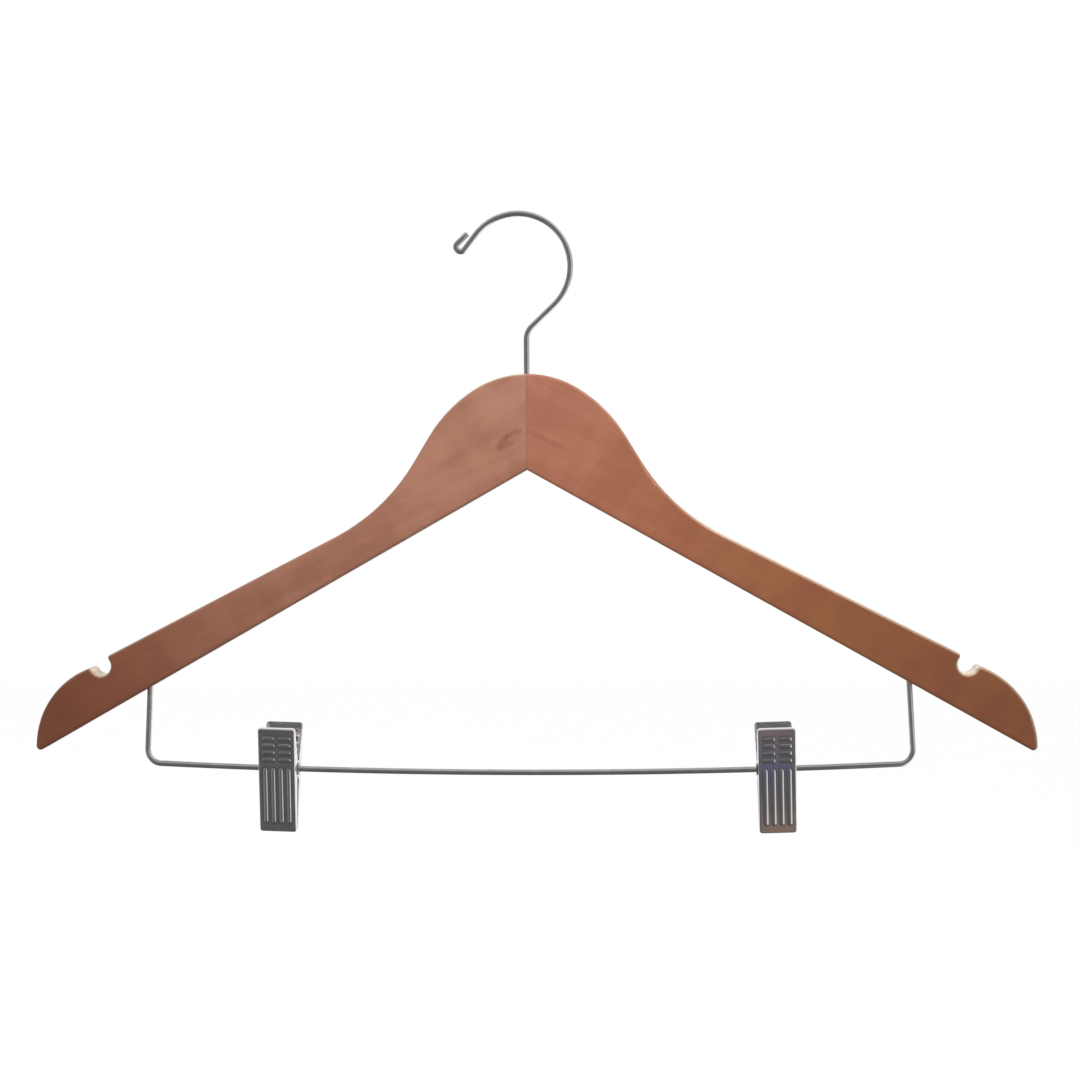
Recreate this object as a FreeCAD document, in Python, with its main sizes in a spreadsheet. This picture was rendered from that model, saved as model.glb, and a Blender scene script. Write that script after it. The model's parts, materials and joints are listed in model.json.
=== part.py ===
import FreeCAD, Part
import math
import os
import Sketcher

# A wooden skirt hanger: two combed wooden arms, a turning wire hook, a bowed wire bar
# and two sprung clips that slide, swing and open on the bar.
# X runs along the arms, Y through their thickness and Z up. The origin lies on the axis
# that the hook turns about, where a rail touches the inside of the hook.
# Lengths are in millimetres and angles in degrees.

sizes = {
    # wooden arms
    "half_span": 216.0,
    "wood_thickness": 12.0,
    "wood_height": 41.0,
    "crown_radius": 42.0,
    "crown_angle": 32.4,
    "shoulder_radius": 61.4,
    "shoulder_angle": 58.7,
    "neck_radius": 86.0,
    "arm_top_angle": 27.0,
    "arm_top_drop": 26.9,
    "arm_lower_angle": 29.44,
    "notch_reach": 28.25,
    "notch_radius": 4.35,
    "notch_sink": 2.45,
    "end_radius": 37.0,
    "end_rise": -0.197,
    "edge_round": 1.5,
    "corner_margin": 0.3,
    "comb_length": 6.0,
    # hook and its brad
    "hook_wire": 2.6,
    "hook_radius": 22.6,
    "hook_offset": 3.6,
    "hook_rise": 45.9,
    "hook_kick_angle": 46.5,
    "hook_bend_radius": 8.0,
    "hook_sweep_angle": 142.3,
    "hook_tip_run": 7.9,
    "hook_curl_radius": 2.0,
    "hook_curl_angle": 189.0,
    "hook_curl_return": 6.0,
    "stem_depth": 30.0,
    "stem_end_gap": 0.3,
    "swivel_clearance": 0.06,
    "groove_height": 22.0,
    "groove_depth": 0.5,
    "pin_diameter": 1.4,
    "pin_length": 9.0,
    "pin_clearance": 0.06,
    # bar
    "bar_wire": 2.6,
    "bar_drop": 172.1,
    "bar_sag": 4.0,
    "bar_offset": -1.75,
    "leg_reach": 164.5,
    "leg_lean_angle": 3.3,
    "leg_depth": 13.0,
    "bar_corner_radius": 6.0,
    # clips
    "clip_place": 107.8,
    "clip_width": 16.1,
    "clip_sheet": 0.7,
    "handle_length": 20.3,
    "jaw_length": 26.95,
    "pivot_depth": 6.95,
    "tip_depth": 1.97,
    "lip_gap": 0.25,
    "rim_depth": 2.2,
    "flange_set": 0.95,
    "hip_set": 2.75,
    "ear_top": 4.7,
    "ear_foot": 6.5,
    "ear_land": 1.65,
    "ear_gap": 0.15,
    "ear_relief": 0.35,
    "ear_clearance": 0.06,
    "plate_corner": 1.3,
    "plate_round": 0.6,
    "relief_height": 0.5,
    "grip_length": 5.2,
    "grip_width": 1.75,
    "grip_inset": 0.9,
    "grip_first": 4.3,
    "grip_pitch": 3.2,
    "rib_width": 1.7,
    "rib_pitch": 3.4,
    "rib_first": 17.6,
    "rib_last": 42.1,
    "tube_clearance": 0.2,
    "tube_wall": 0.4,
    "tube_head_width": 0.8,
    "tube_head_thickness": 0.4,
    "tube_head_gap": 0.1,
    "pad_width": 13.0,
    "pad_height": 7.0,
    "pad_gap": 0.15,
    "spring_wire": 0.9,
    "spring_clearance": 0.45,
    "spring_length": 7.0,
    "spring_reach": 13.0,
    "spring_gap": 0.2,
    # how far every cutting tool runs past what it cuts
    "overrun": 2.0,
}
comb_layers = 5
grip_rows = 4
rib_count = 4
spring_turns = 5
quarter_turn = math.pi / 2

doc = FreeCAD.newDocument("skirt_hanger")
sheet = doc.addObject("Spreadsheet::Sheet", "Sizes")
for row, (alias, number) in enumerate(sizes.items(), start=1):
    sheet.set("A%d" % row, alias)
    sheet.set("B%d" % row, str(number))
    sheet.setAlias("B%d" % row, alias)
doc.recompute()

pieces = {}


def size(expression):
    # The value of a sum of named sizes, such as "hook_wire / 2".
    return float(sheet.evalExpression(linked(expression)))


def linked(expression):
    # The same sum with each size's name written as a reference to its cell.
    words = expression.replace("(", " ( ").replace(")", " ) ").split()
    return " ".join("Sizes." + word if word in sizes else word for word in words)


def bind(thing, target, expression):
    thing.setExpression(target, linked(expression))


def angle_of(name):
    return math.radians(size(name))


def flat(x, z):
    return FreeCAD.Vector(x, z, 0)


def polar(length, angle):
    return flat(length * math.cos(angle), length * math.sin(angle))


def heading(vector):
    return math.atan2(vector.y, vector.x)


def unit(vector):
    return vector / vector.Length


def line_meets_circle(start, direction, centre, radius):
    # The farther point along a line where it meets a circle.
    offset = start - centre
    half = offset.dot(direction)
    rest = offset.dot(offset) - radius ** 2
    return start + direction * (math.sqrt(half ** 2 - rest) - half)


def origin_plane(body, role):
    return next(plane for plane in body.Origin.OriginFeatures if plane.Role == role)


def new_body(label):
    body = doc.addObject("PartDesign::Body", label)
    body.Label = label
    return body


def new_sketch(body, name, role, offset=None):
    sketch = body.newObject("Sketcher::SketchObject", name)
    sketch.AttachmentSupport = [(origin_plane(body, role), "")]
    sketch.MapMode = "FlatFace"
    if offset:
        bind(sketch, "AttachmentOffset.Base.z", offset)
    return sketch


def hold(sketch, kind, place, expression):
    # One constraint of a sketch, bound to named sizes.
    index = sketch.addConstraint(Sketcher.Constraint(kind, *place, size(expression)))
    bind(sketch, "Constraints[%d]" % index, expression)


def draw_polygon(sketch, corners):
    # A closed outline of straight lines; each corner is a pair of sums of named sizes.
    points = [flat(size(across), size(up)) for across, up in corners]
    lines = [Part.LineSegment(a, b) for a, b in zip(points, points[1:] + points[:1])]
    ids = sketch.addGeometry(lines, False)
    for this, after in zip(ids, ids[1:] + ids[:1]):
        sketch.addConstraint(Sketcher.Constraint("Coincident", this, 2, after, 1))
    for line, (across, up) in zip(ids, corners):
        hold(sketch, "DistanceX", (-1, 1, line, 1), across)
        hold(sketch, "DistanceY", (-1, 1, line, 1), up)


def draw_rectangle(sketch, left, right, low, high):
    draw_polygon(sketch, [(left, low), (right, low), (right, high), (left, high)])


def draw_circle(sketch, across, up, radius):
    centre = flat(size(across), size(up))
    circle = Part.Circle(centre, FreeCAD.Vector(0, 0, 1), size(radius))
    index = sketch.addGeometry(circle, False)
    hold(sketch, "Radius", (index,), radius)
    hold(sketch, "DistanceX", (-1, 1, index, 3), across)
    hold(sketch, "DistanceY", (-1, 1, index, 3), up)


def draw_path(sketch, steps, closed):
    # A chain of lines and arcs. A line step is its two ends; an arc step adds its centre,
    # the sum of sizes that gives its radius and +1 for a left turn or -1 for a right one.
    ids = []
    ends = []
    for step in steps:
        start, end = step[:2]
        if len(step) == 2:
            ids.append(sketch.addGeometry(Part.LineSegment(start, end), False))
            ends.append((1, 2))
            continue
        centre, radius, turn = step[2:]
        first, last = (start, end) if turn > 0 else (end, start)
        circle = Part.Circle(centre, FreeCAD.Vector(0, 0, 1), (start - centre).Length)
        arc = Part.ArcOfCircle(circle, heading(first - centre), heading(last - centre))
        ids.append(sketch.addGeometry(arc, False))
        ends.append((1, 2) if turn > 0 else (2, 1))
        if radius:
            hold(sketch, "Radius", (ids[-1],), radius)
    joins = list(range(len(ids) - 1)) + ([-1] if closed else [])
    for join in joins:
        after = join + 1
        place = (ids[join], ends[join][1], ids[after], ends[after][0])
        sketch.addConstraint(Sketcher.Constraint("Coincident", *place))
    return ["Edge%d" % (index + 1) for index in range(len(ids))]


def pad(body, sketch, name, length, symmetric=False, backwards=False):
    feature = body.newObject("PartDesign::Pad", name)
    feature.Profile = sketch
    feature.SideType = "Symmetric" if symmetric else "One side"
    feature.Reversed = backwards
    bind(feature, "Length", length)
    doc.recompute()
    return feature


def pocket(body, sketch, name, length=None, symmetric=False, backwards=False):
    before = body.Shape.Volume
    feature = body.newObject("PartDesign::Pocket", name)
    feature.Profile = sketch
    feature.SideType = "Symmetric" if symmetric else "One side"
    feature.Reversed = backwards
    if length:
        bind(feature, "Length", length)
    else:
        feature.Type = "ThroughAll"
    doc.recompute()
    check_cut(feature, before)
    return feature


def check_cut(feature, before):
    if not feature.Shape.Volume < before:
        raise RuntimeError(feature.Name + " cuts nothing")


def fillet(body, base, name, radius, wanted):
    # Rounds the edges of the base feature that the given test picks.
    feature = body.newObject("PartDesign::Fillet", name)
    edges = [index for index, edge in enumerate(base.Shape.Edges, start=1) if wanted(edge)]
    feature.Base = (base, ["Edge%d" % index for index in edges])
    bind(feature, "Radius", radius)
    doc.recompute()
    return feature


def mirror(body, feature, name):
    mirrored = body.newObject("PartDesign::Mirrored", name)
    mirrored.Originals = [feature]
    mirrored.MirrorPlane = (origin_plane(body, "YZ_Plane"), [""])
    body.Tip = mirrored
    doc.recompute()
    return mirrored


def pipe(body, profile, spine, edges, name):
    feature = body.newObject("PartDesign::AdditivePipe", name)
    feature.Profile = profile
    feature.Spine = (spine, edges)
    doc.recompute()
    return feature


def cylinder(name, radius, length, placement):
    tool = doc.addObject("Part::Cylinder", name)
    bind(tool, "Radius", radius)
    bind(tool, "Height", length)
    tool.Placement = placement
    return tool


def fuse(name, shapes):
    joined = doc.addObject("Part::MultiFuse", name)
    joined.Shapes = shapes
    return joined


def boolean(kind, name, base, tool):
    result = doc.addObject("Part::" + kind, name)
    result.Base = base
    result.Tool = tool
    doc.recompute()
    return result


def keep(label, thing):
    thing.Label = label
    pieces[label] = thing


# Heights that several pieces share.
hook_inside = size("hook_radius - hook_wire / 2")
hook_centre = flat(-size("hook_offset"), -math.sqrt(hook_inside ** 2 - size("hook_offset") ** 2))
wood_top = hook_centre.y - size("hook_rise")
bar_low = wood_top - size("bar_drop")
half_thickness = size("wood_thickness / 2")


def wood_underside(x):
    # Height of the straight lower edge of an arm.
    return wood_top - size("wood_height") - abs(x) * math.tan(angle_of("arm_lower_angle"))


def arm_outline():
    # The right half of the front view, clockwise from the top of the crown.
    crown = angle_of("crown_angle")
    shoulder = angle_of("shoulder_angle")
    top = angle_of("arm_top_angle")
    lower = angle_of("arm_lower_angle")
    corner = size("edge_round + corner_margin")
    top_up = flat(math.sin(top), math.cos(top))
    top_out = flat(math.cos(top), -math.sin(top))
    lower_up = flat(math.sin(lower), math.cos(lower))
    lower_out = flat(math.cos(lower), -math.sin(lower))

    peak = flat(0, wood_top)
    crown_out = flat(math.sin(crown), math.cos(crown))
    crown_centre = flat(0, wood_top - size("crown_radius"))
    crown_end = crown_centre + crown_out * size("crown_radius")
    shoulder_centre = crown_end - crown_out * size("shoulder_radius")
    shoulder_out = flat(math.sin(shoulder), math.cos(shoulder))
    shoulder_end = shoulder_centre + shoulder_out * size("shoulder_radius")

    # The steep side of the shoulder and the arm's top edge meet in a hollow neck.
    arm_start = flat(0, wood_top - size("arm_top_drop"))
    steep_fall = math.tan(shoulder) - math.tan(top)
    meet_x = (shoulder_end.y + shoulder_end.x * math.tan(shoulder) - arm_start.y) / steep_fall
    meet = arm_start + top_out * (meet_x / math.cos(top))
    neck_reach = size("neck_radius") * math.tan((shoulder - top) / 2)
    neck_start = meet - flat(math.cos(shoulder), -math.sin(shoulder)) * neck_reach
    neck_end = meet + top_out * neck_reach
    neck_centre = neck_end + top_up * size("neck_radius")

    # The strap notch lies in from the tip and is sunk below the top edge. A rounded lobe
    # beside the notch leads into the round end, which runs down to the tip.
    notch_foot = arm_start + top_out * (size("half_span - notch_reach") / math.cos(top))
    notch_centre = notch_foot - top_up * size("notch_sink")
    notch_half = math.sqrt(size("notch_radius") ** 2 - size("notch_sink") ** 2)
    notch_start = notch_foot - top_out * notch_half
    end_rise = size("end_rise")
    lobe_out = math.sqrt((size("notch_radius") + corner) ** 2 - end_rise ** 2)
    lobe_centre = notch_centre + top_out * lobe_out + top_up * end_rise
    inner_radius = size("end_radius") - corner
    end_x = size("half_span - end_radius")
    end_fall = math.sqrt(inner_radius ** 2 - (lobe_centre.x - end_x) ** 2)
    end_centre = flat(end_x, lobe_centre.y - end_fall)
    notch_end = notch_centre + unit(lobe_centre - notch_centre) * size("notch_radius")
    end_start = end_centre + unit(lobe_centre - end_centre) * size("end_radius")
    apex = flat(0, wood_top - size("wood_height"))
    raised = apex + lower_up * corner
    tip_centre = line_meets_circle(raised, lower_out, end_centre, inner_radius)
    end_end = end_centre + unit(tip_centre - end_centre) * size("end_radius")
    tip_end = tip_centre - lower_up * corner

    return [
        (peak, crown_end, crown_centre, "crown_radius", -1),
        (crown_end, shoulder_end, shoulder_centre, "shoulder_radius", -1),
        (shoulder_end, neck_start),
        (neck_start, neck_end, neck_centre, "neck_radius", 1),
        (neck_end, notch_start),
        (notch_start, notch_end, notch_centre, "notch_radius", 1),
        (notch_end, end_start, lobe_centre, "edge_round + corner_margin", -1),
        (end_start, end_end, end_centre, "end_radius", -1),
        (end_end, tip_end, tip_centre, "edge_round + corner_margin", -1),
        (tip_end, apex),
        (apex, peak),
    ]


def bar_frame():
    # The bar in the plane of the hanger, about its own middle: a shallow bow, a bent
    # corner and a leg that leans out on its way down.
    chord = size("leg_reach")
    sag = size("bar_sag")
    bow_radius = (chord ** 2 + sag ** 2) / (2 * sag)
    bow_centre = flat(0, bar_low + bow_radius)
    lean = angle_of("leg_lean_angle")
    down = flat(math.sin(lean), -math.cos(lean))
    inward = flat(-math.cos(lean), -math.sin(lean))
    mouth = flat(chord, wood_underside(chord))
    bend = size("bar_corner_radius")
    corner_centre = line_meets_circle(mouth + inward * bend, down, bow_centre, bow_radius - bend)
    return {
        "bow_radius": bow_radius,
        "bow_centre": bow_centre,
        "corner_centre": corner_centre,
        "bow_end": bow_centre + unit(corner_centre - bow_centre) * bow_radius,
        "leg_foot": corner_centre - inward * bend,
        "leg_top": mouth - down * size("leg_depth"),
        "down": down,
    }


bar = bar_frame()


def make_blank():
    # Both arms in one board with rounded edges, before the comb joint parts them.
    body = new_body("arm_blank")
    sketch = new_sketch(body, "arm_half", "XZ_Plane")
    draw_path(sketch, arm_outline(), True)
    half = pad(body, sketch, "arm_board", "wood_thickness", symmetric=True)
    whole = mirror(body, half, "arm_both")

    def on_a_face(edge):
        deep = all(abs(abs(v.Y) - half_thickness) < Part.Precision.confusion() for v in edge.Vertexes)
        middle = all(abs(v.X) < Part.Precision.confusion() for v in edge.Vertexes)
        return deep and not middle

    fillet(body, whole, "arm_edges", "edge_round", on_a_face)
    return body


def make_arms():
    blank = make_blank()
    layer = "wood_thickness / %d" % comb_layers
    low = wood_underside(size("half_span")) - size("overrun")
    tall = wood_top + size("overrun") - low

    def cell(name, x_low, x_length, first=0, count=comb_layers):
        block = doc.addObject("Part::Box", name)
        bind(block, "Length", x_length)
        bind(block, "Width", "wood_thickness * %d / %d" % (count, comb_layers))
        block.Height = tall
        base = FreeCAD.Vector(size(x_low), size(layer) * first - half_thickness, low)
        block.Placement.Base = base
        return block

    tools = {
        "hook_bore": cylinder(
            "hook_bore", "hook_wire / 2 + swivel_clearance", "stem_depth + stem_end_gap + overrun",
            upright(wood_top - size("stem_depth + stem_end_gap"))),
        "pin_hole": cylinder("pin_hole", "pin_diameter / 2", "pin_length + overrun", pin_placement()),
    }
    for side, sign in (("left", -1), ("right", 1)):
        tools[side + "_leg_hole"] = cylinder(
            side + "_leg_hole", "bar_wire / 2", "leg_depth + overrun", leg_placement(sign))
    bores = fuse("bores", list(tools.values()))

    odd = range(1, comb_layers, 2)
    even = range(2, comb_layers - 1, 2)
    for side, sign, own, other in (("left", -1, odd, even), ("right", 1, even, odd)):
        reach = "half_span + overrun"
        start = "0 - half_span - overrun" if sign < 0 else "0"
        half = cell(side + "_half", start, reach)
        near = "0 - comb_length" if sign < 0 else "0"
        far = "0" if sign < 0 else "0 - comb_length"
        slots = [cell("%s_slot_%d" % (side, n), near, "comb_length", n, 1) for n in other]
        tongues = [cell("%s_tongue_%d" % (side, n), far, "comb_length", n, 1) for n in own]
        slotted = boolean("Cut", side + "_slotted", half, group(side + "_slots", slots))
        space = fuse(side + "_space", [slotted] + tongues)
        solid = boolean("Common", side + "_solid", blank, space)
        keep(side + "_arm", boolean("Cut", side + "_arm", solid, bores))


def group(name, shapes):
    # One shape as it is, or several joined.
    return shapes[0] if len(shapes) == 1 else fuse(name, shapes)


def upright(z):
    return FreeCAD.Placement(FreeCAD.Vector(0, 0, z), FreeCAD.Rotation())


def pin_placement():
    # The brad lies along Y beside the stem, in its ring groove, and is driven in from the back.
    x = size("hook_wire / 2 - groove_depth + pin_clearance + pin_diameter / 2")
    z = wood_top - size("groove_height")
    towards_back = FreeCAD.Rotation(FreeCAD.Vector(0, 0, 1), FreeCAD.Vector(0, 1, 0))
    return FreeCAD.Placement(FreeCAD.Vector(x, half_thickness - size("pin_length"), z), towards_back)


def leg_placement(sign):
    # From the end of a bar leg down along it.
    top = bar["leg_top"]
    down = bar["down"]
    base = FreeCAD.Vector(size("bar_offset") + sign * top.x, 0, top.y)
    along = FreeCAD.Vector(sign * down.x, 0, down.y)
    return FreeCAD.Placement(base, FreeCAD.Rotation(FreeCAD.Vector(0, 0, 1), along))


def make_hook():
    body = new_body("hook")
    kick = angle_of("hook_kick_angle")
    sweep = angle_of("hook_sweep_angle")
    curl_turn = angle_of("hook_curl_angle")
    radius = size("hook_radius")
    bend = size("hook_bend_radius")
    curl = size("hook_curl_radius")
    stem_end = wood_top - size("stem_depth")

    rise = flat(math.sin(kick), math.cos(kick))
    loop_start = hook_centre + polar(radius, -kick)
    kick_point = loop_start - rise * (loop_start.x / math.sin(kick))
    reach = bend * math.tan(kick / 2)
    bend_start = kick_point - flat(0, reach)
    bend_end = kick_point + rise * reach
    loop_end = hook_centre + polar(radius, sweep)
    away = polar(1, sweep + quarter_turn)
    aside = flat(away.y, -away.x)
    curl_start = loop_end + away * size("hook_tip_run")
    curl_centre = curl_start + aside * curl
    curl_end = curl_centre + polar(curl, heading(-aside) - curl_turn)
    tip = curl_end + polar(size("hook_curl_return"), heading(away) - curl_turn)

    spine = new_sketch(body, "hook_line", "XZ_Plane")
    edges = draw_path(spine, [
        (flat(0, stem_end), bend_start),
        (bend_start, bend_end, bend_start + flat(bend, 0), "hook_bend_radius", -1),
        (bend_end, loop_start),
        (loop_start, loop_end, hook_centre, "hook_radius", 1),
        (loop_end, curl_start),
        (curl_start, curl_end, curl_centre, "hook_curl_radius", -1),
        (curl_end, tip),
    ], False)
    profile = new_sketch(body, "hook_section", "XY_Plane")
    profile.AttachmentOffset.Base.z = stem_end
    draw_circle(profile, "0", "0", "hook_wire / 2")
    wire = pipe(body, profile, spine, edges, "hook_wire_bend")

    # A ring groove near the foot of the stem takes the brad.
    ring = new_sketch(body, "groove_section", "XZ_Plane")
    middle = wood_top - size("groove_height")
    half = size("pin_diameter / 2 + pin_clearance")
    outer = size("hook_wire / 2 + overrun")
    inner = size("hook_wire / 2 - groove_depth")
    corners = [flat(inner, middle - half), flat(outer, middle - half)]
    corners += [flat(outer, middle + half), flat(inner, middle + half)]
    draw_path(ring, list(zip(corners, corners[1:] + corners[:1])), True)
    groove = body.newObject("PartDesign::Groove", "stem_groove")
    groove.Profile = ring
    groove.ReferenceAxis = (ring, ["V_Axis"])
    doc.recompute()
    check_cut(groove, wire.Shape.Volume)
    keep("hook", body)


def make_pin():
    brad = cylinder("brad", "pin_diameter / 2", "pin_length", pin_placement())
    keep("hook_retaining_pin", brad)


def make_bar():
    body = new_body("trouser_bar")
    low = flat(0, bar_low)
    spine = new_sketch(body, "bar_line", "XZ_Plane")
    edges = draw_path(spine, [
        (low, bar["bow_end"], bar["bow_centre"], None, 1),
        (bar["bow_end"], bar["leg_foot"], bar["corner_centre"], "bar_corner_radius", 1),
        (bar["leg_foot"], bar["leg_top"]),
    ], False)
    profile = new_sketch(body, "bar_section", "YZ_Plane")
    circle = Part.Circle(low, FreeCAD.Vector(0, 0, 1), size("bar_wire / 2"))
    index = profile.addGeometry(circle, False)
    hold(profile, "Radius", (index,), "bar_wire / 2")
    half = pipe(body, profile, spine, edges, "bar_half")
    mirror(body, half, "bar_both")
    bind(body, "Placement.Base.x", "bar_offset")
    keep("trouser_bar", body)


# The clips. Each piece is drawn about the clip's pivot, with X along the bar.

tube_bore = "bar_wire / 2 + tube_clearance"
tube_outer = tube_bore + " + tube_wall"
ear_hole = tube_outer + " + ear_clearance"
ear_radius = ear_hole + " + ear_land"
clip_half = "clip_width / 2"
face = "0 - pivot_depth"
face_inside = "0 - pivot_depth + clip_sheet"


def clip_lean():
    # How far each jaw leans, so that its tip lies at its own depth from the middle plane.
    depth = size("pivot_depth")
    length = size("jaw_length")
    return math.acos(size("tip_depth") / math.hypot(depth, length)) - math.atan2(length, depth)


lean = clip_lean()


def clip_placement(sign):
    # On the bar's bow, square to it.
    turn = math.asin(size("clip_place") / bar["bow_radius"])
    spot = bar["bow_centre"] + polar(bar["bow_radius"], sign * turn - quarter_turn)
    base = FreeCAD.Vector(size("bar_offset") + spot.x, 0, spot.y)
    return FreeCAD.Placement(base, FreeCAD.Rotation(FreeCAD.Vector(0, 1, 0), -sign * math.degrees(turn)))


def jaw_turn(place):
    # The rear jaw is the front jaw turned half round about the upright axis.
    half_round = 180 if place == "rear" else 0
    about = FreeCAD.Rotation(FreeCAD.Vector(0, 0, 1), half_round)
    tilt = FreeCAD.Rotation(FreeCAD.Vector(1, 0, 0), math.degrees(lean))
    return FreeCAD.Placement(FreeCAD.Vector(), about * tilt)


def draw_ear(sketch):
    # A tab with a round end about the pivot.
    round_top = flat(0, size(ear_radius))
    round_foot = flat(0, -size(ear_radius))
    root = size(face + " + clip_sheet / 2")
    high = flat(root, size("ear_top"))
    foot = flat(root, -size("ear_foot"))
    draw_path(sketch, [
        (high, round_top),
        (round_top, round_foot, flat(0, 0), ear_radius, -1),
        (round_foot, foot),
        (foot, high),
    ], True)


def draw_rounded(sketch, half, low, high, radius, x=0):
    # An upright rectangle with rounded corners, about a vertical line.
    bend = size(radius)
    left, right = x - half, x + half
    steps = []
    centres = [(left, low, 1, 1), (right, low, -1, 1), (right, high, -1, -1), (left, high, 1, -1)]
    for index, (across, up, inward, upward) in enumerate(centres):
        centre = flat(across + inward * bend, up + upward * bend)
        start = centre + polar(bend, math.pi + index * quarter_turn)
        end = centre + polar(bend, math.pi + (index + 1) * quarter_turn)
        steps.append((start, end, centre, radius, 1))
    sides = [(this[1], after[0]) for this, after in zip(steps, steps[1:] + steps[:1])]
    draw_path(sketch, [step for pair in zip(steps, sides) for step in pair], True)


def draw_slot(sketch, x, low, high, radius):
    # An upright bar with round ends.
    half = size(radius)
    left_low = flat(x - half, low + half)
    left_high = flat(x - half, high - half)
    right_low = flat(x + half, low + half)
    right_high = flat(x + half, high - half)
    steps = [
        (left_low, right_low, flat(x, low + half), None, 1),
        (right_low, right_high),
        (right_high, left_high, flat(x, high - half), None, 1),
        (left_high, left_low),
    ]
    draw_path(sketch, steps, True)


def make_jaw(label, place, clip):
    # A dished stamping: a flat face with turned-back rims, an ear in line with one flange and
    # an ear set inside the other, so that two alike interleave.
    body = new_body(label)
    plate = new_sketch(body, label + "_plate", "XZ_Plane", "pivot_depth")
    draw_rounded(plate, size(clip_half), -size("jaw_length"), size("handle_length"), "plate_corner")
    block = pad(body, plate, label + "_block", "pivot_depth", backwards=True)
    front = -size("pivot_depth")

    def round_the_face(edge):
        return all(abs(v.Y - front) < Part.Precision.confusion() for v in edge.Vertexes)

    fillet(body, block, label + "_round", "plate_round", round_the_face)

    # The rims stand deepest beside the pivot and run out towards the handle's end and the tip.
    lip = size("tip_depth - lip_gap") / math.cos(lean) - size("pivot_depth")
    rim = size(face + " + rim_depth")
    past_top = size("handle_length + overrun")
    past_tip = -size("jaw_length + overrun")
    corners = [
        flat(rim, past_top),
        flat(rim, size("handle_length")),
        flat(-size("flange_set"), size("ear_top")),
        flat(-size("hip_set"), -size("ear_foot")),
        flat(lip, -size("jaw_length")),
        flat(lip, past_tip),
        flat(size("overrun"), past_tip),
        flat(size("overrun"), past_top),
    ]
    side = new_sketch(body, label + "_side", "YZ_Plane")
    draw_path(side, list(zip(corners, corners[1:] + corners[:1])), True)
    pocket(body, side, label + "_rims", "clip_width + overrun * 2", symmetric=True)

    inside = new_sketch(body, label + "_inside", "XZ_Plane", "pivot_depth - clip_sheet")
    draw_rectangle(
        inside, "clip_sheet - clip_width / 2", "clip_width / 2 - clip_sheet",
        "clip_sheet - jaw_length", "handle_length - clip_sheet")
    pocket(body, inside, label + "_dish")

    # The other jaw's outer ear turns in a round relief in this jaw's plain flange.
    relief = new_sketch(body, label + "_relief", "YZ_Plane", "clip_width / 2 - clip_sheet - ear_gap / 2")
    draw_circle(relief, "0", "0", ear_radius + " + ear_relief")
    pocket(body, relief, label + "_clear", "clip_sheet + ear_gap", backwards=True)

    outer = new_sketch(body, label + "_outer", "YZ_Plane", "0 - clip_width / 2")
    draw_ear(outer)
    pad(body, outer, label + "_outer_ear", "clip_sheet")
    inner = new_sketch(body, label + "_inner", "YZ_Plane", "clip_width / 2 - clip_sheet * 2 - ear_gap")
    draw_ear(inner)
    pad(body, inner, label + "_inner_ear", "clip_sheet")

    eye = new_sketch(body, label + "_eye", "YZ_Plane", "0 - clip_width / 2 - overrun")
    draw_circle(eye, "0", "0", ear_hole)
    pocket(body, eye, label + "_eyes", "clip_width + overrun * 2", backwards=True)

    # Grip bars on the handle and ribs on the jaw stand proud of the face.
    grips = new_sketch(body, label + "_grips", "XZ_Plane", "pivot_depth")
    for row in range(grip_rows):
        middle = "handle_length - grip_first - grip_pitch * %d" % row
        low = middle + " - grip_width / 2"
        high = middle + " + grip_width / 2"
        draw_rectangle(grips, "grip_inset", "grip_inset + grip_length", low, high)
        draw_rectangle(grips, "0 - grip_inset - grip_length", "0 - grip_inset", low, high)
    pad(body, grips, label + "_grip_bars", "relief_height")
    ribs = new_sketch(body, label + "_rib_lines", "XZ_Plane", "pivot_depth")
    for number in range(rib_count):
        x = size("rib_pitch") * (number - (rib_count - 1) / 2)
        high = size("handle_length - rib_first")
        low = size("handle_length - rib_last")
        draw_slot(ribs, x, low, high, "rib_width / 2")
    pad(body, ribs, label + "_ribs", "relief_height")

    body.Placement = clip.multiply(jaw_turn(place))
    keep(label, body)


def make_pad(label, place, clip):
    # A vinyl wedge between the jaw's face and the middle plane of the clip.
    body = new_body(label)
    section = new_sketch(body, label + "_section", "YZ_Plane")
    low = size("clip_sheet - jaw_length")
    high = low + size("pad_height")

    def near_middle(z):
        return z * math.tan(lean) - size("pad_gap") / math.cos(lean)

    back = size(face_inside)
    corners = [flat(back, low), flat(near_middle(low), low), flat(near_middle(high), high), flat(back, high)]
    draw_path(section, list(zip(corners, corners[1:] + corners[:1])), True)
    pad(body, section, label + "_wedge", "pad_width", symmetric=True)
    body.Placement = clip.multiply(jaw_turn(place))
    keep(label, body)


def make_tube(label, clip):
    # An eyelet with a flared head at each end, turned about the bar.
    body = new_body(label)
    section = new_sketch(body, label + "_section", "XZ_Plane")
    head_in = clip_half + " + tube_head_gap"
    head_out = head_in + " + tube_head_thickness"
    head_radius = tube_outer + " + tube_head_width"
    draw_polygon(section, [
        ("0 - " + head_out.replace(" + ", " - "), tube_bore),
        (head_out, tube_bore),
        (head_out, head_radius),
        (head_in, head_radius),
        (head_in, tube_outer),
        ("0 - " + head_in.replace(" + ", " - "), tube_outer),
        ("0 - " + head_in.replace(" + ", " - "), head_radius),
        ("0 - " + head_out.replace(" + ", " - "), head_radius),
    ])
    turned = body.newObject("PartDesign::Revolution", label + "_turned")
    turned.Profile = section
    turned.ReferenceAxis = (section, ["H_Axis"])
    doc.recompute()
    body.Placement = clip
    keep(label, body)


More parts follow.
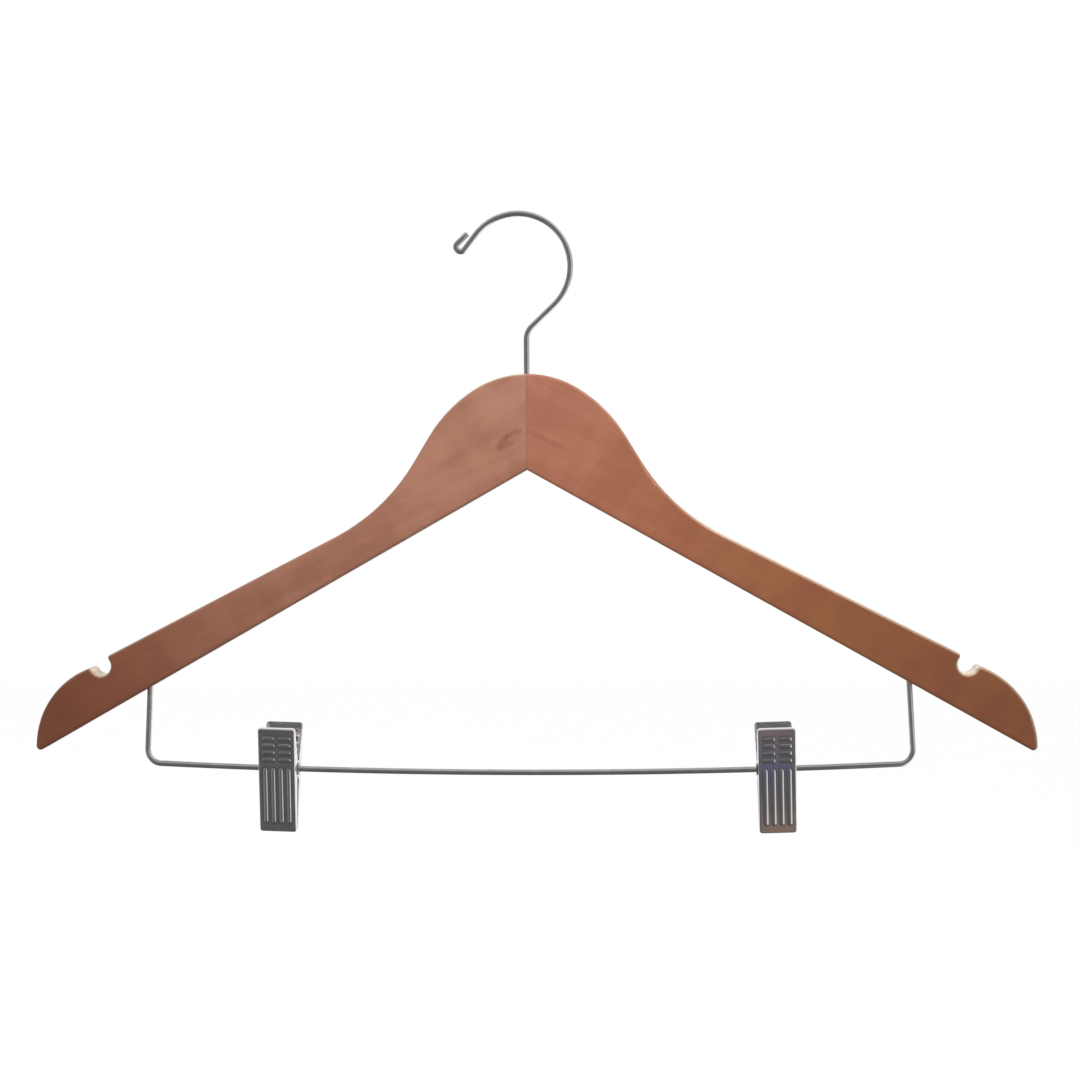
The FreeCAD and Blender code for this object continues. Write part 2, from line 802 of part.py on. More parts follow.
def arc_between(start, elbow, end):
    # The arc that leaves the start towards the elbow and comes to the end from it.
    weight = (end - start).Length / 2 / (elbow - start).Length
    middle = (start + elbow * (2 * weight) + end) / (2 + 2 * weight)
    return Part.Arc(start, middle, end).toShape()


def biarc(start, start_way, end, end_way):
    # Two arcs that join two points with the given directions.
    chord = end - start
    ways = start_way + end_way
    turn = 2 * (1 - start_way.dot(end_way))
    along = chord.dot(ways)
    reach = (math.sqrt(along ** 2 + turn * chord.dot(chord)) - along) / turn
    first = start + start_way * reach
    second = end - end_way * reach
    middle = (first + second) / 2
    return [arc_between(start, first, middle), arc_between(middle, second, end)]


def make_spring(label, clip):
    # A torsion spring round the tube, with a leg up each handle's inside.
    wire = size("spring_wire")
    coil = size(tube_outer + " + spring_clearance + spring_wire / 2")
    height = size("spring_reach")
    inside = size("pivot_depth - clip_sheet") + height * math.sin(lean)
    rest = inside / math.cos(lean) - wire / 2 - size("spring_gap")
    far = math.hypot(rest, height)
    wrap = math.acos(coil / far)
    first = math.atan2(height, -rest) + wrap
    last = math.atan2(height, rest) - wrap + 2 * math.pi * spring_turns
    rate = size("spring_length") / (last - first)
    half_length = size("spring_length / 2")

    def spot(angle):
        x = (angle - first) * rate - half_length
        return FreeCAD.Vector(x, coil * math.cos(angle), coil * math.sin(angle))

    def way(angle):
        return unit(FreeCAD.Vector(rate, -coil * math.sin(angle), coil * math.cos(angle)))

    quarters = math.ceil((last - first) / quarter_turn)
    angles = [first + (last - first) * n / quarters for n in range(quarters + 1)]
    leg = math.sqrt(far ** 2 - coil ** 2) * math.hypot(1, rate / coil)
    front_tip = spot(first) - way(first) * leg
    rear_tip = spot(last) + way(last) * leg
    edges = [Part.makeLine(front_tip, spot(first))]
    for a, b in zip(angles, angles[1:]):
        edges += biarc(spot(a), way(a), spot(b), way(b))
    edges.append(Part.makeLine(spot(last), rear_tip))
    path = Part.Wire(edges)

    circle = Part.Circle(front_tip, way(first), wire / 2)
    shape = path.makePipeShell([Part.Wire(circle.toShape())], True, False)
    section = math.pi * wire ** 2 / 4
    print(label, "volume over section times length", round(shape.Volume / (section * path.Length), 4))
    print(label, "least gap to itself", round(self_gap(edges, wire), 3))
    spring = doc.addObject("Part::Feature", label)
    spring.Shape = shape
    spring.Placement = clip
    keep(label, spring)


def self_gap(edges, wire):
    # The least distance between points that lie more than half a turn of coil apart, less the wire.
    points = []
    run = 0
    for edge in edges:
        count = max(4, int(edge.Length / wire * 4))
        for point in edge.discretize(count)[:-1]:
            points.append((run + (point - edge.Vertexes[0].Point).Length, point))
        run += edge.Length
    apart = math.pi * size(tube_outer + " + spring_clearance + spring_wire / 2")
    pairs = ((a, b) for n, a in enumerate(points) for b in points[n + 1:] if b[0] - a[0] > apart)
    return min((a[1] - b[1]).Length for a, b in pairs) - wire


make_arms()
make_hook()
make_pin()
make_bar()
for side, sign in (("left", -1), ("right", 1)):
    clip = clip_placement(sign)
    for place in ("front", "rear"):
        make_jaw("%s_clip_%s_jaw" % (side, place), place, clip)
        make_pad("%s_clip_%s_pad" % (side, place), place, clip)
    make_tube(side + "_clip_pivot_tube", clip)
    make_spring(side + "_clip_spring", clip)
doc.recompute()

for thing in doc.Objects:
    if "Invalid" in thing.State or "Error" in thing.State:
        raise RuntimeError("%s failed: %s" % (thing.Name, thing.State))
for label, thing in pieces.items():
    if thing.Shape.isNull() or not thing.Shape.isValid():
        raise RuntimeError(label + " has no valid shape")

os.makedirs("parts", exist_ok=True)
for label, thing in pieces.items():
    thing.Shape.exportStep("parts/%s.step" % label)
    print(label, len(thing.Shape.Solids), "solid", round(thing.Shape.Volume, 1), "mm3")
print("swivel at the origin; wood top", round(wood_top, 3), "bar low point", round(bar_low, 3))
print("bow radius", round(bar["bow_radius"], 3), "lean", round(math.degrees(lean), 3))
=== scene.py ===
import json
import math

import bmesh
import bpy
import numpy as np
from mathutils import Matrix, Vector

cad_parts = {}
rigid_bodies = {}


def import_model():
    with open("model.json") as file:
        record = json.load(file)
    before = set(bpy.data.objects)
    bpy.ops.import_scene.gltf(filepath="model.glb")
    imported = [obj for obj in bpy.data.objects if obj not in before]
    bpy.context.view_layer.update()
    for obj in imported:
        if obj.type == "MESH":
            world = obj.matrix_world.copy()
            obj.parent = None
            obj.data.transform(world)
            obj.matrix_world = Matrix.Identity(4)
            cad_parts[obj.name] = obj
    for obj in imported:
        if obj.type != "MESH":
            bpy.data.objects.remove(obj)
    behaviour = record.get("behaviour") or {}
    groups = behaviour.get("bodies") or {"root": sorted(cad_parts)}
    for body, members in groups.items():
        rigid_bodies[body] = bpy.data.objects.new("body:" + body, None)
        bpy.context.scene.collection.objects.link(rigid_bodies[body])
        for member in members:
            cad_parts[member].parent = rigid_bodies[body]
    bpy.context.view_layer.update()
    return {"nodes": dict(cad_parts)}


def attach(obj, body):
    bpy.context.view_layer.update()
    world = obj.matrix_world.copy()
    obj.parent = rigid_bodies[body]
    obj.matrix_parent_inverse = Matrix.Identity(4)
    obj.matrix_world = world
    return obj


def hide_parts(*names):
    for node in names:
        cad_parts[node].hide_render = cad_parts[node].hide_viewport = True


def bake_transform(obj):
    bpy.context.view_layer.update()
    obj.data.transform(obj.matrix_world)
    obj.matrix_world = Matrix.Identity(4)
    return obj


for thing in list(bpy.data.objects):
    bpy.data.objects.remove(thing)
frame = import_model()
nodes = frame["nodes"]
mm = 0.001


# shader maths: a socket with the usual operators, and one method for every other node
class Val:
    def __init__(self, tree, out=None):
        self.tree = tree
        self.out = out

    def node(self, kind, settings=None, inputs=None, out=0):
        made = self.tree.nodes.new("ShaderNode" + kind)
        for key, value in (settings or {}).items():
            setattr(made, key, value)
        for key, value in (inputs or {}).items():
            socket = made.inputs[key]
            if isinstance(value, Val):
                self.tree.links.new(value.out, socket)
            elif socket.type == "RGBA":
                socket.default_value = (*value, 1)
            else:
                socket.default_value = value
        return Val(self.tree, made.outputs[out])

    def calc(self, operation, *values):
        return self.node("Math", {"operation": operation}, dict(enumerate(values)))

    def __add__(self, other):
        return self.calc("ADD", self, other)

    def __radd__(self, other):
        return self.calc("ADD", other, self)

    def __sub__(self, other):
        return self.calc("SUBTRACT", self, other)

    def __rsub__(self, other):
        return self.calc("SUBTRACT", other, self)

    def __mul__(self, other):
        return self.calc("MULTIPLY", self, other)

    def __rmul__(self, other):
        return self.calc("MULTIPLY", other, self)

    def __truediv__(self, other):
        return self.calc("DIVIDE", self, other)

    def __abs__(self):
        return self.calc("ABSOLUTE", self)

    def root(self):
        return self.calc("SQRT", self)

    def wave(self):
        return self.calc("SINE", self)

    def least(self, other):
        return self.calc("MINIMUM", self, other)

    def most(self, other):
        return self.calc("MAXIMUM", self, other)

    # 0 at the first value, 1 at the second, eased between them and held outside
    def step(self, first, second):
        limits = {"Value": self, "From Min": first, "From Max": second}
        return self.node("MapRange", {"interpolation_type": "SMOOTHSTEP"}, limits)

    # a bell, 1 at zero and nearly nothing past the given width
    def bell(self, width):
        share = self / width
        return self.calc("EXPONENT", share * share * -4.0)

    def split(self):
        parts = self.node("SeparateXYZ", None, {0: self})
        return [Val(self.tree, socket) for socket in parts.out.node.outputs]

    def join(self, x, y, z):
        return self.node("CombineXYZ", None, {0: x, 1: y, 2: z})

    # noise over a place that is stretched by three factors and shifted along the third
    def grain(self, stretch, detail, rough, shift=0.0):
        inputs = {0: self, 1: stretch, 2: (0.0, 0.0, shift)}
        place = self.node("VectorMath", {"operation": "MULTIPLY_ADD"}, inputs)
        inputs = {"Vector": place, "Scale": 1.0, "Detail": detail, "Roughness": rough}
        return self.node("TexNoise", None, inputs)

    def colour(self, first, second):
        return self.node("Mix", {"data_type": "RGBA"}, {0: self, 6: first, 7: second}, out=2)

    def bump(self, strength, distance):
        return self.node("Bump", None, {"Height": self, "Strength": strength, "Distance": distance})


# a finish with fixed shader values; the place on the piece comes back in millimetres
def newFinish(name, constants):
    finish = bpy.data.materials.new(name)
    finish.use_nodes = True
    tree = finish.node_tree
    tree.nodes.clear()
    shader = Val(tree).node("BsdfPrincipled", None, constants)
    end = tree.nodes.new("ShaderNodeOutputMaterial")
    tree.links.new(shader.out, end.inputs["Surface"])
    coords = shader.node("TexCoord", out="Object")
    place = coords.node("VectorMath", {"operation": "SCALE"}, {0: coords, "Scale": 1 / mm})
    return finish, place, shader.out.node


def feed(shader, links):
    for key, value in links.items():
        value.tree.links.new(value.out, shader.inputs[key])


# meshes: quads over rows and columns of points, closed round where the grid meets itself
def gridQuads(rows, columns, wrapRows=False, wrapColumns=False):
    number = np.arange(rows * columns).reshape(rows, columns)
    if wrapRows:
        number = np.vstack([number, number[:1]])
    if wrapColumns:
        number = np.hstack([number, number[:, :1]])
    corners = [number[:-1, :-1], number[:-1, 1:], number[1:, 1:], number[1:, :-1]]
    return np.stack(corners, -1).reshape(-1, 4)


# one object from several surfaces, each an array of points in mm and its quads; crease values, where
# given, belong to the first points and mark painted shade where the plating creases
def makePiece(name, surfaces, finish, sharp=35, crease=None):
    clouds = [points.reshape(-1, 3) for points, quads in surfaces]
    starts = np.cumsum([0] + [len(cloud) for cloud in clouds[:-1]])
    quads = np.concatenate([quads + start for (points, quads), start in zip(surfaces, starts)])
    mesh = bpy.data.meshes.new(name)
    mesh.from_pydata((np.concatenate(clouds) * mm).tolist(), [], quads.tolist())
    if crease is not None:
        shadedCrease = np.zeros(len(mesh.vertices), np.float32)
        shadedCrease[:len(crease)] = crease
        mesh.attributes.new("crease", "FLOAT", "POINT").data.foreach_set("value", shadedCrease)
    shape = bmesh.new()
    shape.from_mesh(mesh)
    bmesh.ops.remove_doubles(shape, verts=shape.verts, dist=1e-7)
    bmesh.ops.recalc_face_normals(shape, faces=shape.faces)
    shape.to_mesh(mesh)
    shape.free()
    mesh.polygons.foreach_set("use_smooth", np.ones(len(mesh.polygons), bool))
    mesh.set_sharp_from_angle(angle=math.radians(sharp))
    mesh.materials.append(finish)
    piece = bpy.data.objects.new(name, mesh)
    bpy.context.scene.collection.objects.link(piece)
    return piece


def unit(vectors):
    return vectors / np.linalg.norm(vectors, axis=-1, keepdims=True)


# a straight run and an arc in the hanger's plane, each as points and headings (x, z)
def straight(start, end, count):
    share = np.linspace(0, 1, count)[:, None]
    start, end = np.asarray(start), np.asarray(end)
    return start + (end - start) * share, np.repeat(unit(end - start)[None], count, 0)


def arc(centre, radius, first, last, count):
    turn = np.linspace(first, last, count)
    out = np.stack([np.cos(turn), np.sin(turn)], 1)
    way = np.stack([-out[:, 1], out[:, 0]], 1) * np.sign(last - first)
    return np.asarray(centre) + out * radius, way


# runs end to end, each without its first point, as points and headings in space
def chain(runs):
    points = np.concatenate([runs[0][0]] + [run[0][1:] for run in runs[1:]])
    ways = np.concatenate([runs[0][1]] + [run[1][1:] for run in runs[1:]])
    flat = np.zeros(len(points))
    return np.stack([points[:, 0], flat, points[:, 1]], 1), np.stack([ways[:, 0], flat, ways[:, 1]], 1)


# a wire: circles square to the path, its two ends rounded over by a small lip and closed
def wireSurface(points, ways, radii, lip, aside, count):
    over = np.linspace(0, math.pi / 2, 6)[1:]
    capAhead = np.append(np.sin(over) * lip, lip) - lip
    capRadius = np.append(1 - (1 - np.cos(over)) * lip / radii[-1], 0) * radii[-1]
    tail = points[-1] + ways[-1] * capAhead[:, None]
    head = points[0] - ways[0] * capAhead[::-1, None]
    points = np.concatenate([head, points[1:-1], tail])
    ways = np.concatenate([np.repeat(ways[:1], 6, 0), ways[1:-1], np.repeat(ways[-1:], 6, 0)])
    radii = np.concatenate([capRadius[::-1], radii[1:-1], capRadius])
    first = unit(np.cross(ways, aside))
    second = np.cross(first, ways)
    turn = np.linspace(0, 2 * math.pi, count, endpoint=False)[None, :, None]
    ring = first[:, None] * np.cos(turn) + second[:, None] * np.sin(turn)
    return points[:, None] + ring * radii[:, None, None], gridQuads(len(points), count, wrapColumns=True)


# a turned piece about X: a closed section of (x, radius) carried round
def turnedSurface(section, count):
    turn = np.linspace(0, 2 * math.pi, count, endpoint=False)[:, None]
    x = np.repeat(section[None, :, 0], count, 0)
    points = np.stack([x, section[None, :, 1] * np.cos(turn), section[None, :, 1] * np.sin(turn)], -1)
    return points, gridQuads(count, len(section), wrapRows=True, wrapColumns=True)


# a closed outline with each corner rounded by a quadratic curve, which runs from a reach before
# the corner to a reach after it
def softCorners(corners, reach, count):
    corners = np.asarray(corners, float)
    before = corners + unit(np.roll(corners, 1, 0) - corners) * reach
    after = corners + unit(np.roll(corners, -1, 0) - corners) * reach
    share = np.linspace(0, 1, count)[None, :, None]
    early, middle, late = (1 - share) ** 2, 2 * share * (1 - share), share ** 2
    bend = before[:, None] * early + corners[:, None] * middle + after[:, None] * late
    return bend.reshape(-1, 2)


# sizes of the wires and the brad, in mm and radians, which the wood's finish needs too;
# a sliver is the height of a sharp step between two rows of points
sliver = 0.02
hook = {
    "wire": 2.6, "radius": 22.6, "offset": 3.6, "rise": 45.9, "kick": math.radians(46.5), "bend": 8.0,
    "sweep": math.radians(142.3), "tipRun": 7.9,
    "curl": 2.0, "curlTurn": math.radians(189), "curlReturn": 6.0,
    "stemDepth": 30.0, "grooveDown": 22.0, "grooveHalf": 0.76, "grooveDepth": 0.5,
    "lip": 0.35, "around": 40,
}
hookInside = hook["radius"] - hook["wire"] / 2
hookCentre = np.array([-hook["offset"], -math.sqrt(hookInside ** 2 - hook["offset"] ** 2)])
woodTop = hookCentre[1] - hook["rise"]

bar = {
    "wire": 2.6, "drop": 172.1, "sag": 4.0, "offset": -1.75, "legReach": 164.5, "lean": math.radians(3.3),
    "legDepth": 13.0, "corner": 6.0, "underAngle": math.radians(29.44), "woodHeight": 41.0,
    "lip": 0.3, "around": 40,
}
barLow = woodTop - bar["drop"]
bowRadius = (bar["legReach"] ** 2 + bar["sag"] ** 2) / (2 * bar["sag"])
bowCentre = np.array([0.0, barLow + bowRadius])
# height of the arms' underside at the middle; it falls away from there by the under angle
underTop = woodTop - bar["woodHeight"]
underSlope = math.tan(bar["underAngle"])

brad = {
    "x": 1.56, "down": 22.0, "radius": 0.7, "length": 9.0, "back": 6.0, "dome": 0.18,
    "point": 0.35, "taper": 0.5, "around": 28,
}


# finishes. A grain is its stretch, detail and roughness. Each arm has its own stain, which changes
# along it from pale and deep to the tip's darker pair, a deeper stain and painted shade of the light falling
# off; its painted edge highlight is cut down between the four distances of edgeCutAlong
wood = {
    "slope": math.radians(28.2),
    "left": {
        "side": -1, "seed": 17.0, "figure": 1.1, "fade": (140.0, 290.0),
        "pale": (0.428, 0.198, 0.130), "deep": (0.346, 0.150, 0.093),
        "tipPale": (0.325, 0.111, 0.053), "tipDeep": (0.285, 0.089, 0.051),
        "edgeReach": 0.9, "wearAndLight": 1.0, "edgeCut": 0.8, "edgeCutAlong": (50.0, 110.0, 195.0, 215.0),
    },
    "right": {
        "side": 1, "seed": 71.0, "figure": 1.6, "fade": (10.0, 200.0),
        "pale": (0.440, 0.176, 0.112), "deep": (0.370, 0.138, 0.082),
        "tipPale": (0.410, 0.153, 0.062), "tipDeep": (0.370, 0.130, 0.062),
        "edgeReach": 0.32, "wearAndLight": 0.74, "edgeCut": 0.85, "edgeCutAlong": (-90.0, -80.0, 100.0, 135.0),
    },
    "wornAndLit": (0.66, 0.51, 0.36), "bareLitWood": (0.78, 0.65, 0.47),
    "heart": (0.19, 0.060, 0.036), "glueAndShade": (0.07, 0.022, 0.014),
    "halfThickness": 6.0, "combLength": 6.0, "combLayer": 2.4, "farOff": 9.0,
    "pithDown": 130.0, "pithBehind": 40.0, "ringSpacing": 3.4, "ringWaver": 16.0,
    "waver": ((0.012, 0.035, 0.03), 2.0, 0.5), "cloud": ((0.018, 0.07, 0.06), 3.0, 0.55),
    "curl": ((0.09, 0.03, 0.05), 2.0, 0.5), "streak": ((0.022, 0.9, 0.9), 3.0, 0.6),
    "pore": ((0.16, 2.6, 2.6), 1.0, 0.5), "poreFrom": (0.62, 0.76),
    "fleck": ((0.5, 0.35, 0.5), 2.0, 0.5), "fleckFrom": (0.44, 0.6),
    "smear": ((0.12, 0.9, 0.3), 2.0, 0.6), "smearFrom": (0.42, 0.66),
    "cloudShare": 1.7, "streakShare": 0.4, "ringShare": 0.04, "toneFrom": (0.1, 0.9),
    "edgeFrom": 0.02, "edgeFall": (1.2, 2.6), "edgeFallen": 0.7, "edgeAbove": (0.6, 2.4),
    "notch": (186.64, -191.64), "notchRadius": 4.35, "notchPaleFrom": (0.9, 0.15),
    "strength": {
        "upperRim": 0.30, "lowerRim": 0.06, "fill": 0.14, "blot": 0.28, "eye": 0.26, "darkPatch": 0.62,
        "most": 0.8, "scar": 0.2, "scarSide": 0.22, "glueAndShade": 0.42, "bore": 0.65, "pore": 0.16,
    },
    "knot": {"x": -7.4, "z": -94.9, "turn": math.radians(37), "half": 7.2, "wide": 2.5, "push": 0.45},
    "scar": {"x": 0.7, "z": -91.5, "length": 22.0},
    "darkPatch": {"x": -193.0, "z": -195.2},
}


# stained hardwood: growth rings about a pith outside the board, soft clouds, fine streaks and pores run
# along the arm; worn and lit upper edges, a pale lit notch, joint lines, painted shade at the bores and marks
# lie over them
def woodFinish(name, arm):
    finish, place, shader = newFinish(name, {
        "Coat Weight": 1.0, "Coat Roughness": 0.16, "Specular IOR Level": 0.2})
    x, y, z = place.split()
    side, seed, strength = arm["side"], arm["seed"], wood["strength"]
    cosine, sine = math.cos(wood["slope"]), math.sin(wood["slope"])
    along = x * (side * cosine) - z * sine
    across = x * (side * sine) + z * cosine

    # place in the knot: along and across its own leaf shape, which narrows to both ends
    knot = wood["knot"]
    knotX, knotZ = x - knot["x"], z - knot["z"]
    leafAlong = knotX * math.cos(knot["turn"]) + knotZ * math.sin(knot["turn"])
    leafAcross = knotZ * math.cos(knot["turn"]) - knotX * math.sin(knot["turn"])
    share = leafAlong / knot["half"]
    width = (1 - share * share) * knot["wide"]
    near = (share * share + leafAcross * leafAcross * 0.1).root()
    push = knot["push"] if side < 0 else 0.0
    pushed = across - leafAcross * near.bell(1.7) * push

    board = place.join(along, pushed, y)
    waver = board.grain(*wood["waver"], seed)
    pithUp, pithDeep = pushed + wood["pithDown"], y + wood["pithBehind"]
    ring = (pithUp * pithUp + pithDeep * pithDeep).root() + waver * wood["ringWaver"]
    rings = (ring * (2 * math.pi / wood["ringSpacing"])).wave()
    cloud = board.grain(*wood["cloud"], -seed)
    curl = board.grain(*wood["curl"], seed)
    streak = board.grain(*wood["streak"], seed)
    pores = board.grain(*wood["pore"]).step(*wood["poreFrom"])

    figure = (cloud - 0.5) * wood["cloudShare"] + (curl - 0.5) * arm["figure"]
    figure = figure + (streak - 0.5) * wood["streakShare"] + rings * wood["ringShare"]
    tone = (0.5 + figure).step(*wood["toneFrom"])
    base = tone.colour(arm["deep"], arm["pale"])
    # towards the tips the darker pair: a deeper stain and painted shade where the light falls off
    base = along.step(*arm["fade"]).colour(base, tone.colour(arm["tipDeep"], arm["tipPale"]))

    # upper edges paler on their rounding: stain rubbed thin and a painted highlight of the light from above,
    # cut down between the distances of edgeCutAlong; the strap notch painted pale as bare wood and painted
    # light
    inside = wood["halfThickness"] - abs(y)
    edge = inside.step(wood["edgeFrom"], arm["edgeReach"])
    edge = edge * (1 - inside.step(*wood["edgeFall"]) * wood["edgeFallen"])
    cutFrom, cutWhole, cutEnd, cutGone = arm["edgeCutAlong"]
    edge = edge * (1 - along.step(cutFrom, cutWhole) * along.step(cutGone, cutEnd) * arm["edgeCut"])
    above = (z - underTop + abs(x) * underSlope).step(*wood["edgeAbove"])
    base = (edge * above * (0.6 + streak * 0.4) * arm["wearAndLight"]).colour(base, wood["wornAndLit"])
    # the strap notch painted pale: bare wood and painted light from above
    notchX, notchZ = abs(x) - wood["notch"][0], z - wood["notch"][1]
    notchOut = (notchX * notchX + notchZ * notchZ).root()
    notchPale = (notchOut - wood["notchRadius"]).step(*wood["notchPaleFrom"])
    fleck = place.grain(*wood["fleck"]).step(*wood["fleckFrom"])
    base = (notchPale * (0.85 - fleck * 0.55)).colour(base, wood["bareLitWood"])

    # marks: a leaf-shaped knot with an eye and a dark patch at the left strap notch on one arm, a soft scar
    # on the other
    if side < 0:
        leaf = width.step(-1.0, 1.8)
        rims = (leafAcross - width * 0.75).bell(3.0) * strength["upperRim"]
        rims = rims + (leafAcross + width * 0.9).bell(1.8) * strength["lowerRim"]
        fill = (abs(leafAcross) - width).step(1.2, -1.4) * strength["fill"]
        blotAlong, blotAcross = leafAlong + 4.4, leafAcross + 0.6
        blot = (blotAlong * blotAlong * 0.14 + blotAcross * blotAcross * 0.5).root().bell(2.1)
        eyeAlong, eyeAcross = leafAlong - 0.4, leafAcross + 0.2
        swirl = (eyeAlong * eyeAlong * 1.2 + eyeAcross * eyeAcross * 0.8).root() - 1.7
        eye = swirl.bell(1.1) * eyeAlong.step(2.2, -1.6)
        dark = leaf * (rims + fill) + blot * strength["blot"] + eye * strength["eye"]
        dark = dark * (0.6 + streak * 0.9)
        markX, markZ = x - wood["darkPatch"]["x"], z - wood["darkPatch"]["z"]
        markAlong, markAcross = (markX + markZ) * 0.707, (markZ - markX) * 0.707
        smear = place.join(markAlong, markAcross, y).grain(*wood["smear"]).step(*wood["smearFrom"])
        darkPatch = (markX * markX * 0.02 + markZ * markZ * 0.05).root().bell(1.7) * smear
        dark = dark + darkPatch * strength["darkPatch"]
        base = dark.least(strength["most"]).colour(base, wood["heart"])
    else:
        scar = wood["scar"]
        scarAlong = (x - scar["x"]) * cosine - (z - scar["z"]) * sine
        scarAcross = (x - scar["x"]) * sine + (z - scar["z"]) * cosine
        run = scarAlong.step(-3.0, 2.0) * scarAlong.step(scar["length"], scar["length"] * 0.5)
        dark = (scarAcross + waver - 0.5).bell(2.0) * run * strength["scar"]
        pale = (scarAcross - 2.6).bell(1.6) * run * strength["scarSide"]
        base = pale.colour(dark.colour(base, wood["heart"]), arm["pale"])

    # glue lines of the comb joint: the least distance to the steps where the two arms meet
    layer, length, thick, far = abs(y), wood["combLength"], wood["combLayer"], wood["farOff"]
    faceLine = abs(x) + (thick * 1.5 - layer).step(-sliver, sliver) * far
    tongueLine = abs(x - length) + abs(layer - thick).step(thick * 0.49, thick * 0.51) * far
    coreLine = abs(x + length) + (layer - thick * 0.5).step(-sliver, sliver) * far
    tongueSide = abs(layer - thick * 1.5) + abs(x - length / 2).step(length * 0.49, length * 0.51) * far
    coreSide = abs(layer - thick * 0.5) + abs(x).step(length - sliver, length + sliver) * far
    glueAndShade = faceLine.least(tongueLine).least(coreLine).least(tongueSide).least(coreSide)
    base = (glueAndShade.step(0.2, 0.04) * strength["glueAndShade"]).colour(base, wood["glueAndShade"])

    # painted shade round the bores of the bar's leg, the hook and the brad, in the colour of the glue lines
    mouthX = bar["offset"] + side * bar["legReach"]
    mouthZ = underTop - bar["legReach"] * underSlope
    legX = x - mouthX - (mouthZ - z) * (side * math.tan(bar["lean"]))
    legShade = (legX * legX + y * y).root().step(3.4, 1.4) * (z - mouthZ).step(5.0, 2.5)
    hookShade = (x * x + y * y).root().step(2.2, 1.35) * (z - woodTop).step(-6.0, -3.0)
    bradX, bradZ = x - brad["x"], z - (woodTop - brad["down"])
    bradShade = (bradX * bradX + bradZ * bradZ).root().step(1.2, 0.72) * y.step(0.0, 1.0)
    base = (legShade.most(hookShade).most(bradShade) * strength["bore"]).colour(base, wood["glueAndShade"])
    base = (pores * strength["pore"]).colour(base, wood["heart"])

    height = streak * 0.5 - pores * 0.8 - glueAndShade.step(0.25, 0.05) * 3.0
    feed(shader, {
        "Base Color": base,
        "Roughness": 0.40 + cloud * 0.14 + pores * 0.12,
        "Normal": height.bump(0.2, 0.0001),
    })
    return finish


chrome = {
    "bright": (0.87, 0.845, 0.842), "dull": (0.77, 0.745, 0.742), "creaseShade": (0.30, 0.29, 0.29),
    "haze": ((0.22, 0.22, 0.22), 4.0, 0.6), "hazeFrom": (0.35, 0.7), "fine": ((2.2, 2.2, 2.2), 2.0, 0.5),
    "scratch": ((0.5, 3.0, 7.0), 2.0, 0.6), "scratchFrom": (0.66, 0.7), "creased": 0.5, "rough": 0.09,
}


def chromeFinish():
    finish, place, shader = newFinish("polishedChrome", {"Metallic": 1.0})
    haze = place.grain(*chrome["haze"])
    fine = place.grain(*chrome["fine"])
    scratch = place.grain(*chrome["scratch"]).step(*chrome["scratchFrom"])
    crease = place.node("Attribute", {"attribute_name": "crease"}, out="Fac")
    plate = haze.step(*chrome["hazeFrom"]).colour(chrome["dull"], chrome["bright"])
    feed(shader, {
        # darker plating at the feet of the raised beads: painted shade in the creases
        "Base Color": (crease * chrome["creased"]).colour(plate, chrome["creaseShade"]),
        "Roughness": chrome["rough"] + haze * 0.06 + scratch * 0.06,
        "Normal": (fine * 0.3 + haze).bump(0.1, 0.00004),
    })
    return finish


steel = {
    "bright": (0.50, 0.50, 0.51), "dull": (0.33, 0.32, 0.32), "rough": 0.24,
    "drawn": ((6.0, 1.5, 1.5), 3.0, 0.6), "stain": ((0.6, 0.6, 0.6), 3.0, 0.6), "toneFrom": (0.4, 0.85),
}


def steelFinish():
    finish, place, shader = newFinish("drawnSteel", {"Metallic": 1.0})
    drawn = place.grain(*steel["drawn"])
    stain = place.grain(*steel["stain"])
    tone = (drawn * 0.6 + stain * 0.6).step(*steel["toneFrom"])
    feed(shader, {
        "Base Color": tone.colour(steel["dull"], steel["bright"]),
        "Roughness": steel["rough"] + drawn * 0.14,
        "Normal": drawn.bump(0.2, 0.00003),
    })
    return finish


eyelet = {
    "bright": (0.66, 0.66, 0.67), "dull": (0.50, 0.50, 0.51), "rough": 0.16,
    "turned": ((14.0, 0.4, 0.4), 2.0, 0.6), "cloud": ((0.8, 0.8, 0.8), 3.0, 0.6), "toneFrom": (0.35, 0.75),
}


def eyeletFinish():
    finish, place, shader = newFinish("platedEyelet", {"Metallic": 1.0})
    turned = place.grain(*eyelet["turned"])
    cloud = place.grain(*eyelet["cloud"])
    tone = (turned * 0.4 + cloud * 0.7).step(*eyelet["toneFrom"])
    feed(shader, {
        "Base Color": tone.colour(eyelet["dull"], eyelet["bright"]),
        "Roughness": eyelet["rough"] + turned * 0.14,
        "Normal": turned.bump(0.15, 0.00003),
    })
    return finish


vinyl = {
    "clean": (0.80, 0.78, 0.74), "rubbed": (0.62, 0.59, 0.54), "rough": 0.45,
    "smear": ((0.35, 0.9, 0.9), 3.0, 0.6), "grain": ((7.0, 7.0, 7.0), 2.0, 0.5), "toneFrom": (0.35, 0.75),
}


def vinylFinish():
    finish, place, shader = newFinish("softVinyl", None)
    smear = place.grain(*vinyl["smear"]).step(*vinyl["toneFrom"])
    grain = place.grain(*vinyl["grain"])
    feed(shader, {
        "Base Color": smear.colour(vinyl["clean"], vinyl["rubbed"]),
        "Roughness": vinyl["rough"] + grain * 0.2,
        "Normal": grain.bump(0.2, 0.00005),
    })
    return finish


for armName in ("left", "right"):
    arm = nodes[armName + "_arm"]
    arm.material_slots[0].material = woodFinish(armName + "StainedWood", wood[armName])
chromeLook = chromeFinish()
steelLook = steelFinish()
eyeletLook = eyeletFinish()
vinylLook = vinylFinish()
print("finishes made; wood on both arms")


